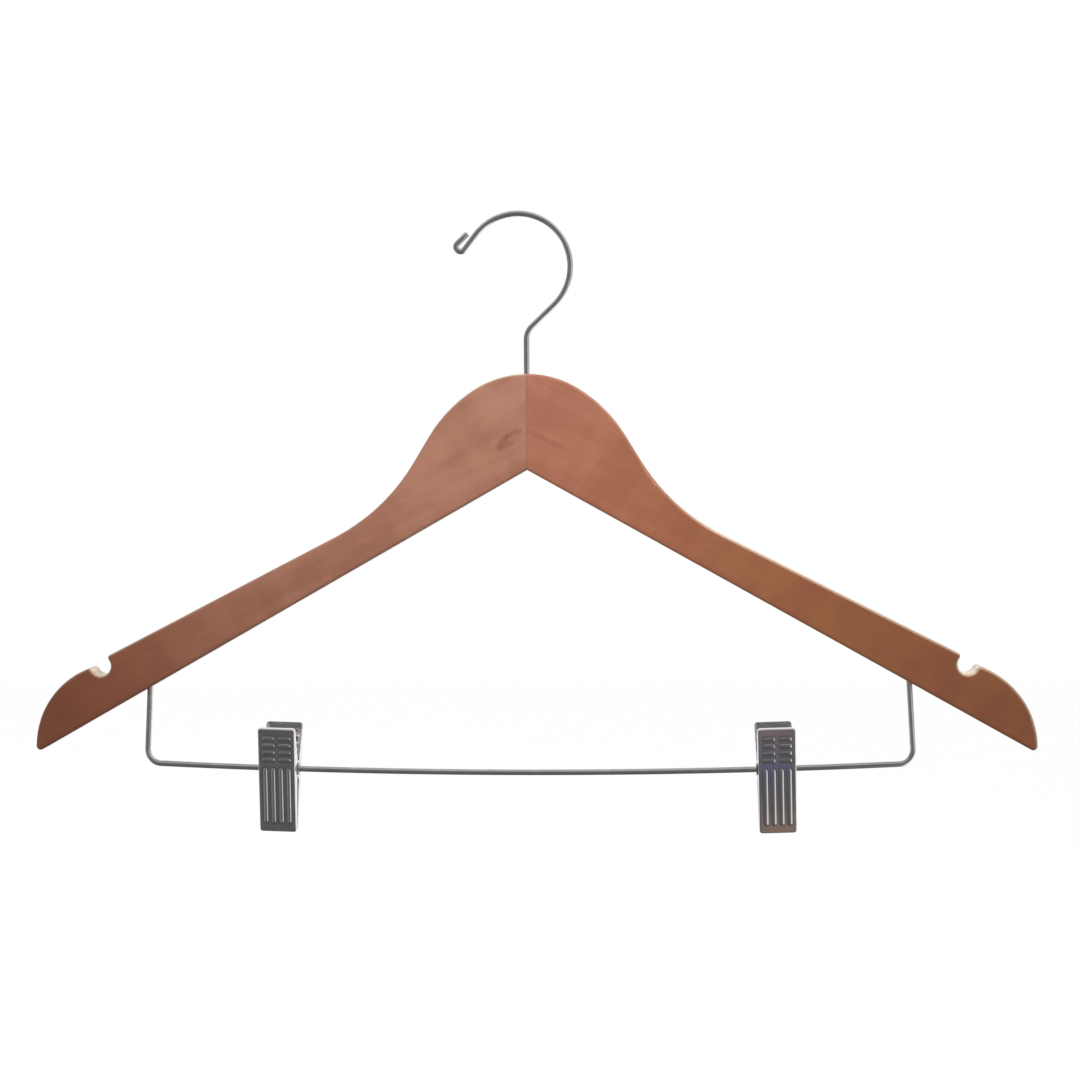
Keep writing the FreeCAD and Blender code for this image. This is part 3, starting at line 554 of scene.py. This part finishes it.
# hook: a stem with a ring groove, a kick to the side, the round loop and a tight curl at the tip
def makeHook():
    kick, sweep, radius = hook["kick"], hook["sweep"], hook["radius"]
    rise = np.array([math.sin(kick), math.cos(kick)])
    loopStart = hookCentre + radius * np.array([math.cos(kick), -math.sin(kick)])
    kickPoint = loopStart - rise * (loopStart[0] / math.sin(kick))
    reach = hook["bend"] * math.tan(kick / 2)
    bendStart = kickPoint - [0, reach]
    away = np.array([-math.sin(sweep), math.cos(sweep)])
    aside = np.array([away[1], -away[0]])
    loopEnd = hookCentre + radius * np.array([math.cos(sweep), math.sin(sweep)])
    curlStart = loopEnd + away * hook["tipRun"]
    curlCentre = curlStart + aside * hook["curl"]
    curlFirst = math.atan2(-aside[1], -aside[0])
    curlLast = curlFirst - hook["curlTurn"]
    curlEnd = curlCentre + hook["curl"] * np.array([math.cos(curlLast), math.sin(curlLast)])
    tipWay = np.array([math.sin(curlLast), -math.cos(curlLast)])
    foot = woodTop - hook["stemDepth"]
    ringLow = woodTop - hook["grooveDown"] - hook["grooveHalf"]
    ringHigh = woodTop - hook["grooveDown"] + hook["grooveHalf"]
    stem = np.array([foot, ringLow, ringLow + sliver, ringHigh - sliver, ringHigh, woodTop, bendStart[1]])
    stemPoints = np.stack([np.zeros_like(stem), stem], 1), np.repeat([[0.0, 1.0]], len(stem), 0)
    points, ways = chain([
        stemPoints,
        arc(bendStart + [hook["bend"], 0], hook["bend"], math.pi, math.pi - kick, 14),
        straight(kickPoint + rise * reach, loopStart, 3),
        arc(hookCentre, radius, -kick, sweep, 120),
        straight(loopEnd, curlStart, 3),
        arc(curlCentre, hook["curl"], curlFirst, curlLast, 28),
        straight(curlEnd, curlEnd + tipWay * hook["curlReturn"], 3),
    ])
    radii = np.full(len(points), hook["wire"] / 2)
    radii[2:4] -= hook["grooveDepth"]
    surface = wireSurface(points, ways, radii, hook["lip"], [0, 1, 0], hook["around"])
    piece = makePiece("hookWire", [surface], chromeLook)
    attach(piece, "hook")
    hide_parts("hook")


# bar: a shallow bow, two bent corners and two legs that run up into the arms
def makeBar():
    lean, bend = bar["lean"], bar["corner"]
    down = np.array([math.sin(lean), -math.cos(lean)])
    inward = np.array([-math.cos(lean), -math.sin(lean)])
    mouth = np.array([bar["legReach"], underTop - bar["legReach"] * underSlope])
    start = mouth + inward * bend - bowCentre
    half = start @ down
    drop = math.sqrt(half ** 2 - start @ start + (bowRadius - bend) ** 2) - half
    corner = bowCentre + start + down * drop
    fall = math.atan2(*(corner - bowCentre)[::-1])
    right = chain([
        arc(bowCentre, bowRadius, -math.pi / 2, fall, 60),
        arc(corner, bend, fall, lean, 24),
        straight(corner - inward * bend, mouth - down * bar["legDepth"], 4),
    ])
    flip = np.array([-1, 1, 1])
    points = np.concatenate([(right[0] * flip)[:0:-1], right[0]]) + [bar["offset"], 0, 0]
    ways = np.concatenate([(right[1] * -flip)[:0:-1], right[1]])
    radii = np.full(len(points), bar["wire"] / 2)
    surface = wireSurface(points, ways, radii, bar["lip"], [0, 1, 0], bar["around"])
    piece = makePiece("barWire", [surface], chromeLook)
    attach(piece, "frame")
    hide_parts("trouser_bar")


# brad: a plain shank, a blunt point in front and a slightly domed head at the back
def makeBrad():
    over = np.linspace(0, math.pi / 2, 8)
    domeY = brad["back"] - brad["dome"] + brad["dome"] * np.sin(over)
    domeR = brad["radius"] * np.cos(over)
    tip = brad["back"] - brad["length"]
    y = np.concatenate([[tip, tip, tip + brad["taper"]], domeY])
    radius = np.concatenate([[0, brad["point"], brad["radius"]], domeR])
    count = brad["around"]
    turn = np.linspace(0, 2 * math.pi, count, endpoint=False)[None]
    z = woodTop - brad["down"]
    points = np.stack([
        brad["x"] + radius[:, None] * np.cos(turn),
        np.repeat(y[:, None], count, 1),
        z + radius[:, None] * np.sin(turn)], -1)
    piece = makePiece("bradHead", [(points, gridQuads(len(y), count, wrapColumns=True))], steelLook)
    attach(piece, "frame")
    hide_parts("hook_retaining_pin")


makeHook()
makeBar()
makeBrad()
print("wires and brad made")


clip = {
    "place": 107.8, "half": 8.05, "sheet": 0.7, "handle": 20.3, "jaw": 26.95, "pivot": 6.95, "tip": 1.97,
    "lipGap": 0.25, "rim": 2.2, "flange": 0.95, "hip": 2.75, "earTop": 4.7, "earFoot": 6.5, "earRadius": 3.61,
    "earHole": 1.96, "earGap": 0.15, "earNib": 0.14, "earFree": -1.2, "earSink": 0.12, "relief": 0.35,
    "corner": 1.3, "fold": 0.6, "innerFold": 0.25, "edgeSoft": 0.2, "rimEase": 1.4,
}
clipLean = math.acos(clip["tip"] / math.hypot(clip["pivot"], clip["jaw"]))
clipLean -= math.atan2(clip["jaw"], clip["pivot"])


def clipPlace(sign):
    turn = math.asin(clip["place"] / bowRadius)
    x = bar["offset"] + sign * bowRadius * math.sin(turn)
    z = bowCentre[1] - bowRadius * math.cos(turn)
    return Matrix.Translation(Vector((x, 0, z))) @ Matrix.Rotation(-sign * turn, 4, "Y")


def jawPlace(sign, rear):
    half = Matrix.Rotation(math.pi if rear else 0, 4, "Z")
    return clipPlace(sign) @ half @ Matrix.Rotation(clipLean, 4, "X")


def placed(points, matrix):
    turn = np.array(matrix.to_3x3())
    return points @ turn.T + np.array(matrix.translation)


emboss = {
    "height": 0.45, "gripLength": 5.2, "gripWidth": 1.75, "gripInset": 0.9, "gripFirst": 4.3,
    "gripPitch": 3.2, "gripRows": 4, "gripBlunt": 0.7, "gripSquare": 2.6,
    "ribWidth": 1.7, "ribPitch": 3.4, "ribs": 4, "ribFirst": 17.8, "ribLast": 43.3,
    "ease": 0.12, "crease": 0.5, "creaseOut": 0.15, "hollow": 0.9,
    "columns": 107, "rowStep": 0.24, "rowLeast": 0.015,
}


# raised pattern: every bead is a circular arc across a straight spine, with round ends on the ribs
# and squarer ones on the grip bars, eased into the plate; also how near a point is to a bead's foot
def embossHeight(x, z):
    ribHalf, gripHalf = emboss["ribWidth"] / 2, emboss["gripWidth"] / 2
    ribTop = clip["handle"] - emboss["ribFirst"] - ribHalf
    ribFoot = clip["handle"] - emboss["ribLast"] + ribHalf
    lastRib = emboss["ribs"] - 1
    number = np.clip(np.round(x / emboss["ribPitch"] + lastRib / 2), 0, lastRib)
    spine = (number - lastRib / 2) * emboss["ribPitch"]
    ribOff = np.hypot(x - spine, z - np.clip(z, ribFoot, ribTop))
    gripTop = clip["handle"] - emboss["gripFirst"]
    row = np.clip(np.round((gripTop - z) / emboss["gripPitch"]), 0, emboss["gripRows"] - 1)
    gripMiddle = emboss["gripInset"] + emboss["gripLength"] / 2
    blunt, square = emboss["gripBlunt"], emboss["gripSquare"]
    pastEnd = np.abs(np.abs(x) - gripMiddle) - emboss["gripLength"] / 2 + gripHalf * blunt
    beyond = np.maximum(pastEnd, 0) / blunt
    gripUp = z - gripTop + row * emboss["gripPitch"]
    gripOff = (np.abs(gripUp) ** square + beyond ** square) ** (1 / square)
    beads = []
    for off, half in ((ribOff, ribHalf), (gripOff, gripHalf)):
        bow = (half ** 2 + emboss["height"] ** 2) / (2 * emboss["height"])
        arch = np.sqrt(np.maximum(bow ** 2 - off ** 2, 0)) - (bow - emboss["height"])
        beads.append(0.5 * (arch + np.sqrt(arch ** 2 + emboss["ease"] ** 2)) - emboss["ease"] ** 2 / 2)
    outside = np.minimum(ribOff - ribHalf, gripOff - gripHalf)
    crease = np.exp(-((outside - emboss["creaseOut"]) / emboss["crease"]) ** 2)
    return np.maximum(np.maximum(*beads), 0), crease


# free edge of the side rims at a height z: straight runs between the stamped corners, eased
def rimEdge(z):
    lip = (clip["tip"] - clip["lipGap"]) / math.cos(clipLean) - clip["pivot"]
    heights = [-clip["jaw"], -clip["earFoot"], clip["earTop"], clip["handle"]]
    depths = [lip, -clip["hip"], -clip["flange"], clip["rim"] - clip["pivot"]]
    taps = np.linspace(-clip["rimEase"], clip["rimEase"], 9)[:, None]
    return np.interp(np.asarray(z)[None] + taps, heights, depths).mean(0)


# dished stamping: the outer face is a grid of rows and columns, its boundary is carried over the
# fold, down the rim, round the free edge and back up to a matching inner face
def dishSurface():
    inset, corner = clip["fold"], clip["corner"] - clip["fold"]
    low, high, half = inset - clip["jaw"], clip["handle"] - inset, clip["half"] - inset
    turn = np.linspace(0, math.pi / 2, 6)
    earSteps = np.add.outer([-clip["earFoot"], clip["earTop"]], [-sliver, sliver]).ravel()
    reliefRadius = clip["earRadius"] + clip["relief"]
    bow = reliefRadius * np.sin(np.linspace(-math.pi / 2, math.pi / 2, 31))
    body = np.arange(low + corner + emboss["rowStep"], high - corner, emboss["rowStep"])
    middle = np.unique(np.concatenate([body, earSteps, bow]))
    middle = middle[np.append(True, np.diff(middle) > emboss["rowLeast"])]
    z = np.concatenate([low + corner - corner * np.cos(turn), middle, high - corner + corner * np.sin(turn)])
    bend = np.concatenate([math.pi / 2 - turn, np.zeros(len(middle)), turn])
    lift = np.concatenate([-np.sin(math.pi / 2 - turn), np.zeros(len(middle)), np.sin(turn)])
    wide = half - corner + corner * np.cos(bend)
    rows, columns = len(z), emboss["columns"]
    share = np.linspace(-1, 1, columns)
    faceX = wide[:, None] * share[None]
    faceZ = np.repeat(z[:, None], columns, 1)
    raised, crease = embossHeight(faceX, faceZ)
    outer = np.stack([faceX, -clip["pivot"] - raised, faceZ], -1)

    # the boundary, once round, with its outward direction
    number = np.arange(rows * columns).reshape(rows, columns)
    loop = np.concatenate([number[0, :-1], number[:-1, -1], number[-1, :0:-1], number[:0:-1, 0]])
    rowOf, columnOf = loop // columns, loop % columns
    onLeft, onRight = columnOf == 0, columnOf == columns - 1
    aside = np.cos(bend[rowOf])
    outX = np.where(onRight, aside, 0) - np.where(onLeft, aside, 0)
    ends = np.where(rowOf == 0, -1.0, np.where(rowOf == rows - 1, 1.0, 0.0))
    outZ = np.where(onLeft | onRight, lift[rowOf], ends)
    ring = np.stack([faceX.ravel()[loop], np.zeros(len(loop)), faceZ.ravel()[loop]], 1)
    out = np.stack([outX, np.zeros(len(loop)), outZ], 1)
    edge = rimEdge(ring[:, 2] + out[:, 2] * inset)
    z0 = ring[:, 2]
    relief = -np.sqrt(np.maximum(reliefRadius ** 2 - z0 ** 2, 0))
    edge = np.where(onRight & (np.abs(z0) < reliefRadius), np.minimum(edge, relief), edge)
    ear = onLeft & (z0 > -clip["earFoot"]) & (z0 < clip["earTop"])
    edge = np.where(ear, clip["fold"] - clip["pivot"] + clip["earSink"], edge)

    # section of the rim at each boundary point: (way out, depth) pairs
    fold = np.linspace(0, math.pi / 2, 7)[1:]
    sheet, soft = clip["sheet"], clip["edgeSoft"]
    foldEnd = clip["fold"] - clip["pivot"]
    innerEnd = sheet + clip["innerFold"] - clip["pivot"]
    inner = np.linspace(0, math.pi / 2, 5)
    nib = np.linspace(0, math.pi / 2, 4)
    ways, depths = [], []
    ways += [clip["fold"] * s for s in np.sin(fold)]
    depths += [np.full(len(loop), foldEnd - clip["fold"] * c) for c in np.cos(fold)]
    for part in np.linspace(0, 1, 6)[1:]:
        ways.append(clip["fold"])
        depths.append(foldEnd + (edge - soft - foldEnd) * part)
    for angle in nib[1:]:
        ways.append(clip["fold"] - soft * (1 - math.cos(angle)))
        depths.append(edge - soft + soft * math.sin(angle))
    for angle in nib[::-1]:
        ways.append(clip["fold"] - sheet + soft * (1 - math.cos(angle)))
        depths.append(edge - soft + soft * math.sin(angle))
    innerTop = np.minimum(innerEnd, edge - soft)
    for part in np.linspace(0, 1, 5)[1:]:
        ways.append(clip["fold"] - sheet)
        depths.append(edge - soft + (innerTop - edge + soft) * part)
    for angle in inner[1:]:
        ways.append(clip["fold"] - sheet - clip["innerFold"] * (1 - math.cos(angle)))
        depths.append(innerTop - (innerTop - sheet + clip["pivot"]) * math.sin(angle))
    ways, depths = np.array(ways), np.array(depths)
    rim = ring[None] + out[None] * ways[:, None, None]
    rim[..., 1] = depths
    rimPoints = np.concatenate([outer.reshape(-1, 3)[loop][None], rim])
    reach = clip["fold"] - sheet - clip["innerFold"]
    innerX = faceX + (reach * np.cos(bend))[:, None] * share[None]
    innerZ = faceZ + (lift * reach)[:, None]
    hollow = embossHeight(innerX, innerZ)[0] * emboss["hollow"]
    innerFace = np.stack([innerX, sheet - clip["pivot"] - hollow, innerZ], -1)
    rimPoints[-1] = innerFace.reshape(-1, 3)[loop]
    surfaces = [
        (outer, gridQuads(rows, columns)),
        (innerFace, gridQuads(rows, columns)),
        (rimPoints, gridQuads(len(rimPoints), len(loop), wrapColumns=True)),
    ]
    return surfaces, crease.ravel()


# ear: a tab whose outline runs round the pivot, pierced by the eye; a rounded oblong section
# is carried from the eye out to the outline. A key is a corner (y, z) and its bearing at the eye
def earSurface(low, high, keys):
    outline = np.concatenate([np.linspace(a[:2], b[:2], 5)[:-1] for a, b in zip(keys, keys[1:])])
    eyes = np.concatenate([np.linspace(a[2], b[2], 5)[:-1] for a, b in zip(keys, keys[1:])])
    turn = np.radians(np.linspace(90, -90, 33))
    outline = np.concatenate([clip["earRadius"] * np.stack([np.cos(turn), np.sin(turn)], 1), outline[1:]])
    eyes = np.concatenate([np.degrees(turn), eyes[1:]])
    hole = clip["earHole"] * np.stack([np.cos(np.radians(eyes)), np.sin(np.radians(eyes))], 1)
    nib = clip["earNib"]
    length = np.linalg.norm(outline - hole, axis=1)[:, None]
    free = np.where(outline[:, :1] > clip["earFree"], nib, 0.0)
    near, far = nib / length, 1 - free / length
    one, zero = np.ones_like(near), np.zeros_like(near)
    across = [zero, near, far, one, one, far, near, zero]
    depth = [low + nib, low, low, low + free, high - free, high, high, high - nib]
    points = np.stack([
        np.concatenate([x * one, hole + (outline - hole) * t], 1) for t, x in zip(across, depth)], 1)
    return points, gridQuads(len(hole), len(across), wrapRows=True, wrapColumns=True)


def makeJaws(sideName, sign):
    half, sheet = clip["half"], clip["sheet"]
    root = clip["fold"] - clip["pivot"]
    ear, foot, top = clip["earRadius"], -clip["earFoot"], clip["earTop"]
    outerKeys = [
        (0, -ear, -90), (-2.3, -4.63, -112), (-clip["hip"], foot, -128), (root, foot, -150),
        (root, top, -215), (-clip["flange"], top, -242), (-1.1, 3.79, -256), (0, ear, -270)]
    inRoot, inset = 0.2 - clip["pivot"] + sheet, 0.1
    innerKeys = [(0, -ear, -90), (inRoot, foot + inset, -140), (inRoot, top - inset, -220), (0, ear, -270)]
    dish, crease = dishSurface()
    outerEar = earSurface(-half, sheet - half, outerKeys)
    innerEar = earSurface(half - 2 * sheet - clip["earGap"], half - sheet - clip["earGap"], innerKeys)
    for place in ("front", "rear"):
        matrix = jawPlace(sign, place == "rear")
        surfaces = [(placed(points, matrix), quads) for points, quads in dish + [outerEar, innerEar]]
        piece = makePiece(sideName + place.title() + "Jaw", surfaces, chromeLook, sharp=30, crease=crease)
        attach(piece, "%s_%s" % (sideName, place))
        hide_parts("%s_clip_%s_jaw" % (sideName, place))


pad = {
    "width": 13.0, "height": 7.0, "gap": 0.15, "round": 0.7, "soft": 0.5, "ridge": 0.14, "ridgePitch": 1.15,
    "shut": 99.0,
}


# pad: a wedge section with soft corners carried across the jaw and rounded over at both ends, where
# the inset named shut closes it, with fine cross ridges on the gripping side
def makePads(sideName, sign):
    low = clip["sheet"] - clip["jaw"]
    high = low + pad["height"]
    back = clip["sheet"] - clip["pivot"]
    slope, gap = math.tan(clipLean), pad["gap"] / math.cos(clipLean)
    grip = np.linspace(low, high, 43)[1:-1]
    wedge = [(back, low), (low * slope - gap, low), (high * slope - gap, high), (back, high)]
    corners = softCorners(wedge, pad["soft"], 6)
    ripple = 0.5 - 0.5 * np.cos((grip - low) * 2 * math.pi / pad["ridgePitch"])
    ridges = np.stack([grip * slope - gap - pad["ridge"] * ripple, grip], 1)
    keep = (ridges[:, 1] > low + pad["soft"]) & (ridges[:, 1] < high - pad["soft"])
    section = np.concatenate([corners[:12], ridges[keep], corners[12:]])
    centre = section.mean(0)
    over = np.linspace(0, math.pi / 2, 7)
    half = pad["width"] / 2
    ahead = pad["round"] * (1 - np.cos(over))
    x = np.concatenate([[-half], -half + ahead, half - ahead[::-1], [half]])
    shrink = pad["round"] * (1 - np.sin(over))
    inset = np.concatenate([[pad["shut"]], shrink, shrink[::-1], [pad["shut"]]])
    away = section - centre
    size = np.linalg.norm(away, axis=1)
    scale = np.clip(1 - inset[:, None] / size[None], 0, 1)
    yz = centre + away[None] * scale[..., None]
    points = np.concatenate([np.repeat(x[:, None, None], len(section), 1), yz], -1)
    quads = gridQuads(len(x), len(section), wrapColumns=True)
    for place in ("front", "rear"):
        matrix = jawPlace(sign, place == "rear")
        surface = placed(points, matrix), quads
        piece = makePiece(sideName + place.title() + "Pad", [surface], vinylLook, sharp=60)
        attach(piece, "%s_%s" % (sideName, place))
        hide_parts("%s_clip_%s_pad" % (sideName, place))


tube = {"bore": 1.5, "outer": 1.9, "head": 2.7, "headIn": 8.15, "headOut": 8.55, "soft": 0.14, "around": 56}


# eyelet tube: a thin wall with a flared head at each end, turned about the bar
def makeTube(sideName, sign):
    near, far = tube["headIn"], tube["headOut"]
    bore, outer, head = tube["bore"], tube["outer"], tube["head"]
    corners = [(-far, bore), (far, bore), (far, head), (near, head), (near, outer),
               (-near, outer), (-near, head), (-far, head)]
    points, quads = turnedSurface(softCorners(corners, tube["soft"], 5), tube["around"])
    piece = makePiece(sideName + "EyeletTube", [(placed(points, clipPlace(sign)), quads)], eyeletLook)
    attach(piece, sideName + "_carriage")
    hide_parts(sideName + "_clip_pivot_tube")


spring = {
    "wire": 0.9, "clearance": 0.45, "length": 7.0, "reach": 13.0, "gap": 0.2, "turns": 5, "lip": 0.2,
    "around": 16, "perTurn": 48,
}


# torsion spring: a helix round the tube, leaving along its tangents into two straight legs
def makeSpring(sideName, sign):
    coil = tube["outer"] + spring["clearance"] + spring["wire"] / 2
    height = spring["reach"]
    inside = clip["pivot"] - clip["sheet"] + height * math.sin(clipLean)
    rest = inside / math.cos(clipLean) - spring["wire"] / 2 - spring["gap"]
    far = math.hypot(rest, height)
    wrap = math.acos(coil / far)
    first = math.atan2(height, -rest) + wrap
    last = math.atan2(height, rest) - wrap + 2 * math.pi * spring["turns"]
    rate = spring["length"] / (last - first)
    leg = math.sqrt(far ** 2 - coil ** 2) * math.hypot(1, rate / coil)
    angle = np.linspace(first, last, spring["perTurn"] * spring["turns"])
    x = (angle - first) * rate - spring["length"] / 2
    helix = np.stack([x, coil * np.cos(angle), coil * np.sin(angle)], 1)
    way = unit(np.stack([np.full(len(angle), rate), -coil * np.sin(angle), coil * np.cos(angle)], 1))
    run = np.linspace(leg, 0, 8)[:-1, None]
    points = np.concatenate([helix[0] - way[0] * run, helix, helix[-1] + way[-1] * run[::-1]])
    ways = np.concatenate([np.repeat(way[:1], len(run), 0), way, np.repeat(way[-1:], len(run), 0)])
    radii = np.full(len(points), spring["wire"] / 2)
    surface = wireSurface(points, ways, radii, spring["lip"], [1, 0, 0], spring["around"])
    matrix = clipPlace(sign)
    piece = makePiece(sideName + "Spring", [(placed(surface[0], matrix), surface[1])], steelLook)
    ends = placed(np.array([[spring["length"] / 2, 0, 0], [-spring["length"] / 2, 0, 0]]), matrix) * mm
    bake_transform(piece)
    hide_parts(sideName + "_clip_spring")


for sideName, sign in (("left", -1), ("right", 1)):
    makeJaws(sideName, sign)
    makePads(sideName, sign)
    makeTube(sideName, sign)
    makeSpring(sideName, sign)
print("clips made")


# camera: the photograph's own place, turn and lens, fitted for a square frame 1080 across
shot = {
    "place": (41.942, -713.176, -104.18), "yaw": -2.95862, "pitch": 2.71955, "roll": -0.474917,
    "focalPixels": 1658.66, "framePixels": 1080, "sensor": 36,
}


def makeCamera():
    yaw, pitch, roll = (math.radians(shot[key]) for key in ("yaw", "pitch", "roll"))
    ahead = Vector((math.sin(yaw) * math.cos(pitch), math.cos(yaw) * math.cos(pitch), -math.sin(pitch)))
    right = Vector((math.cos(yaw), -math.sin(yaw), 0))
    up = right.cross(ahead)
    rolled = right * math.cos(roll) + up * math.sin(roll)
    upright = up * math.cos(roll) - right * math.sin(roll)
    lens = bpy.data.cameras.new("photoCamera")
    lens.sensor_width = shot["sensor"]
    lens.lens = shot["focalPixels"] / shot["framePixels"] * shot["sensor"]
    lens.clip_start = 0.01
    lens.clip_end = 30
    camera = bpy.data.objects.new("photoCamera", lens)
    turn = Matrix((rolled, upright, -ahead)).transposed().to_4x4()
    camera.matrix_world = Matrix.Translation(Vector(shot["place"]) * mm) @ turn
    bpy.context.scene.collection.objects.link(camera)
    bpy.context.scene.camera = camera


floor = {
    "height": -0.60, "half": 2.0, "front": -1.2, "back": 3.0, "colour": (0.36, 0.36, 0.36), "glow": 0.8,
    "dim": 0.115, "bright": 0.88, "left": 0.17, "leftFrom": (0.3, 0.9), "backFrom": (0.2, 0.8),
    "rightFrom": (0.17, 0.48), "rightDeep": (-0.6, -0.25),
    "warm": (0.50, 0.29, 0.21), "cool": (0.10, 0.13, 0.40), "patch": 0.9, "patchX": 0.168,
    "warmWide": 0.075, "warmY": (-0.682, -0.512), "warmDeep": (0.045, 0.035),
    "coolWide": 0.03, "coolY": -0.615, "coolDeep": 0.07,
}


# floor: white to the camera apart from the object's shadow; polished metal shows it dim in front of the
# object, bright behind and to the right, with the warm and bluish patches that the photographed clip shows
def makeFloor():
    across, deep = np.meshgrid([-floor["half"], floor["half"]], [floor["front"], floor["back"]])
    points = np.stack([across, deep, np.full_like(across, floor["height"])], -1)
    mesh = bpy.data.meshes.new("paleFloor")
    mesh.from_pydata(points.reshape(-1, 3).tolist(), [], gridQuads(2, 2).tolist())
    piece = bpy.data.objects.new("paleFloor", mesh)
    bpy.context.scene.collection.objects.link(piece)
    look = bpy.data.materials.new("paleFloor")
    look.use_nodes = True
    tree = look.node_tree
    tree.nodes.clear()
    start = Val(tree)
    x, y = start.node("TexCoord", out="Object").split()[:2]
    right = x.step(*floor["rightFrom"]) * y.step(*floor["rightDeep"])
    left = (0 - x).step(*floor["leftFrom"]) * floor["left"]
    pale = right.most(y.step(*floor["backFrom"])).most(left)
    level = floor["dim"] + pale * floor["bright"]
    near, far = ((y - middle).bell(deep) for middle, deep in zip(floor["warmY"], floor["warmDeep"]))
    warm = near.most(far) * (x - floor["patchX"]).bell(floor["warmWide"])
    cool = (y - floor["coolY"]).bell(floor["coolDeep"]) * (x - floor["patchX"]).bell(floor["coolWide"])
    level = (warm * floor["patch"]).colour(level, floor["warm"])
    level = (cool * floor["patch"]).colour(level, floor["cool"])
    seen = start.node("LightPath", out="Is Camera Ray")
    glossy = start.node("LightPath", out="Is Glossy Ray")
    through = start.node("LightPath", out="Is Transmission Ray")
    matt = start.node("BsdfDiffuse", None, {"Color": floor["colour"]})
    glow = start.node("Emission", None, {"Color": (1, 1, 1), "Strength": floor["glow"]})
    white = start.node("AddShader", None, {0: matt, 1: glow})
    mirrored = start.node("Emission", None, {"Color": level, "Strength": 1.0})
    shown = start.node("MixShader", None, {0: seen.most(through), 1: matt, 2: white})
    shown = start.node("MixShader", None, {0: glossy, 1: shown, 2: mirrored})
    end = tree.nodes.new("ShaderNodeOutputMaterial")
    tree.links.new(shown.out, end.inputs["Surface"])
    mesh.materials.append(look)


room = {
    "front": 0.15, "left": 0.08, "right": 0.40, "top": 0.38, "low": 0.08, "back": 1.0, "backLow": 0.40,
    "leftFrom": (0.3, 1.0), "rightFrom": (0.2, 0.8), "topFrom": (0.3, 1.0), "lowFrom": (0.6, 1.0),
    "backFrom": (0.45, 0.85), "backRise": (-0.5, -0.1),
}


# room: white to the camera and behind the object, greyer low down there; the front is a dim studio
# that grows lighter to the right and overhead, which polished metal shows
def makeRoom():
    world = bpy.data.worlds.new("studio")
    bpy.context.scene.world = world
    world.use_nodes = True
    tree = world.node_tree
    tree.nodes.clear()
    start = Val(tree)
    x, y, z = start.node("TexCoord", out="Generated").split()
    sides = x.step(*room["rightFrom"]) * room["right"] + (0 - x).step(*room["leftFrom"]) * room["left"]
    ends = z.step(*room["topFrom"]) * room["top"] + (0 - z).step(*room["lowFrom"]) * room["low"]
    front = room["front"] + sides + ends
    back = room["backLow"] + z.step(*room["backRise"]) * (room["back"] - room["backLow"])
    level = front + (back - front) * y.step(*room["backFrom"])
    seen = start.node("LightPath", out="Is Camera Ray")
    light = start.node("Background", None, {"Color": level.most(seen), "Strength": 1.0})
    end = tree.nodes.new("ShaderNodeOutputWorld")
    tree.links.new(light.out, end.inputs["Surface"])


lamps = [
    {"name": "keyLamp", "place": (-0.045, -0.42, 0.02), "aim": (-0.01, 0.0, -0.09),
     "size": (0.16, 0.16), "power": 0.375, "spread": 90},
    {"name": "topLamp", "place": (0.30, 0.10, 0.45), "aim": (0.0, 0.02, -0.12),
     "size": (0.9, 0.14), "power": 2.5, "spread": 150},
]


# lamps: a small one close in front of the crown, a long one high on the right; polished metal shows
# the room alone
def makeLamps():
    for lamp in lamps:
        light = bpy.data.lights.new(lamp["name"], "AREA")
        light.shape = "RECTANGLE"
        light.size, light.size_y = lamp["size"]
        light.energy = lamp["power"]
        light.spread = math.radians(lamp["spread"])
        thing = bpy.data.objects.new(lamp["name"], light)
        thing.location = lamp["place"]
        thing.visible_glossy = False
        thing.visible_camera = False
        way = Vector(lamp["aim"]) - Vector(lamp["place"])
        thing.rotation_euler = way.to_track_quat("-Z", "Y").to_euler()
        bpy.context.scene.collection.objects.link(thing)


makeCamera()
makeFloor()
makeRoom()
makeLamps()
bpy.context.scene.view_settings.view_transform = "Standard"
print("camera, floor, room and lamps set")
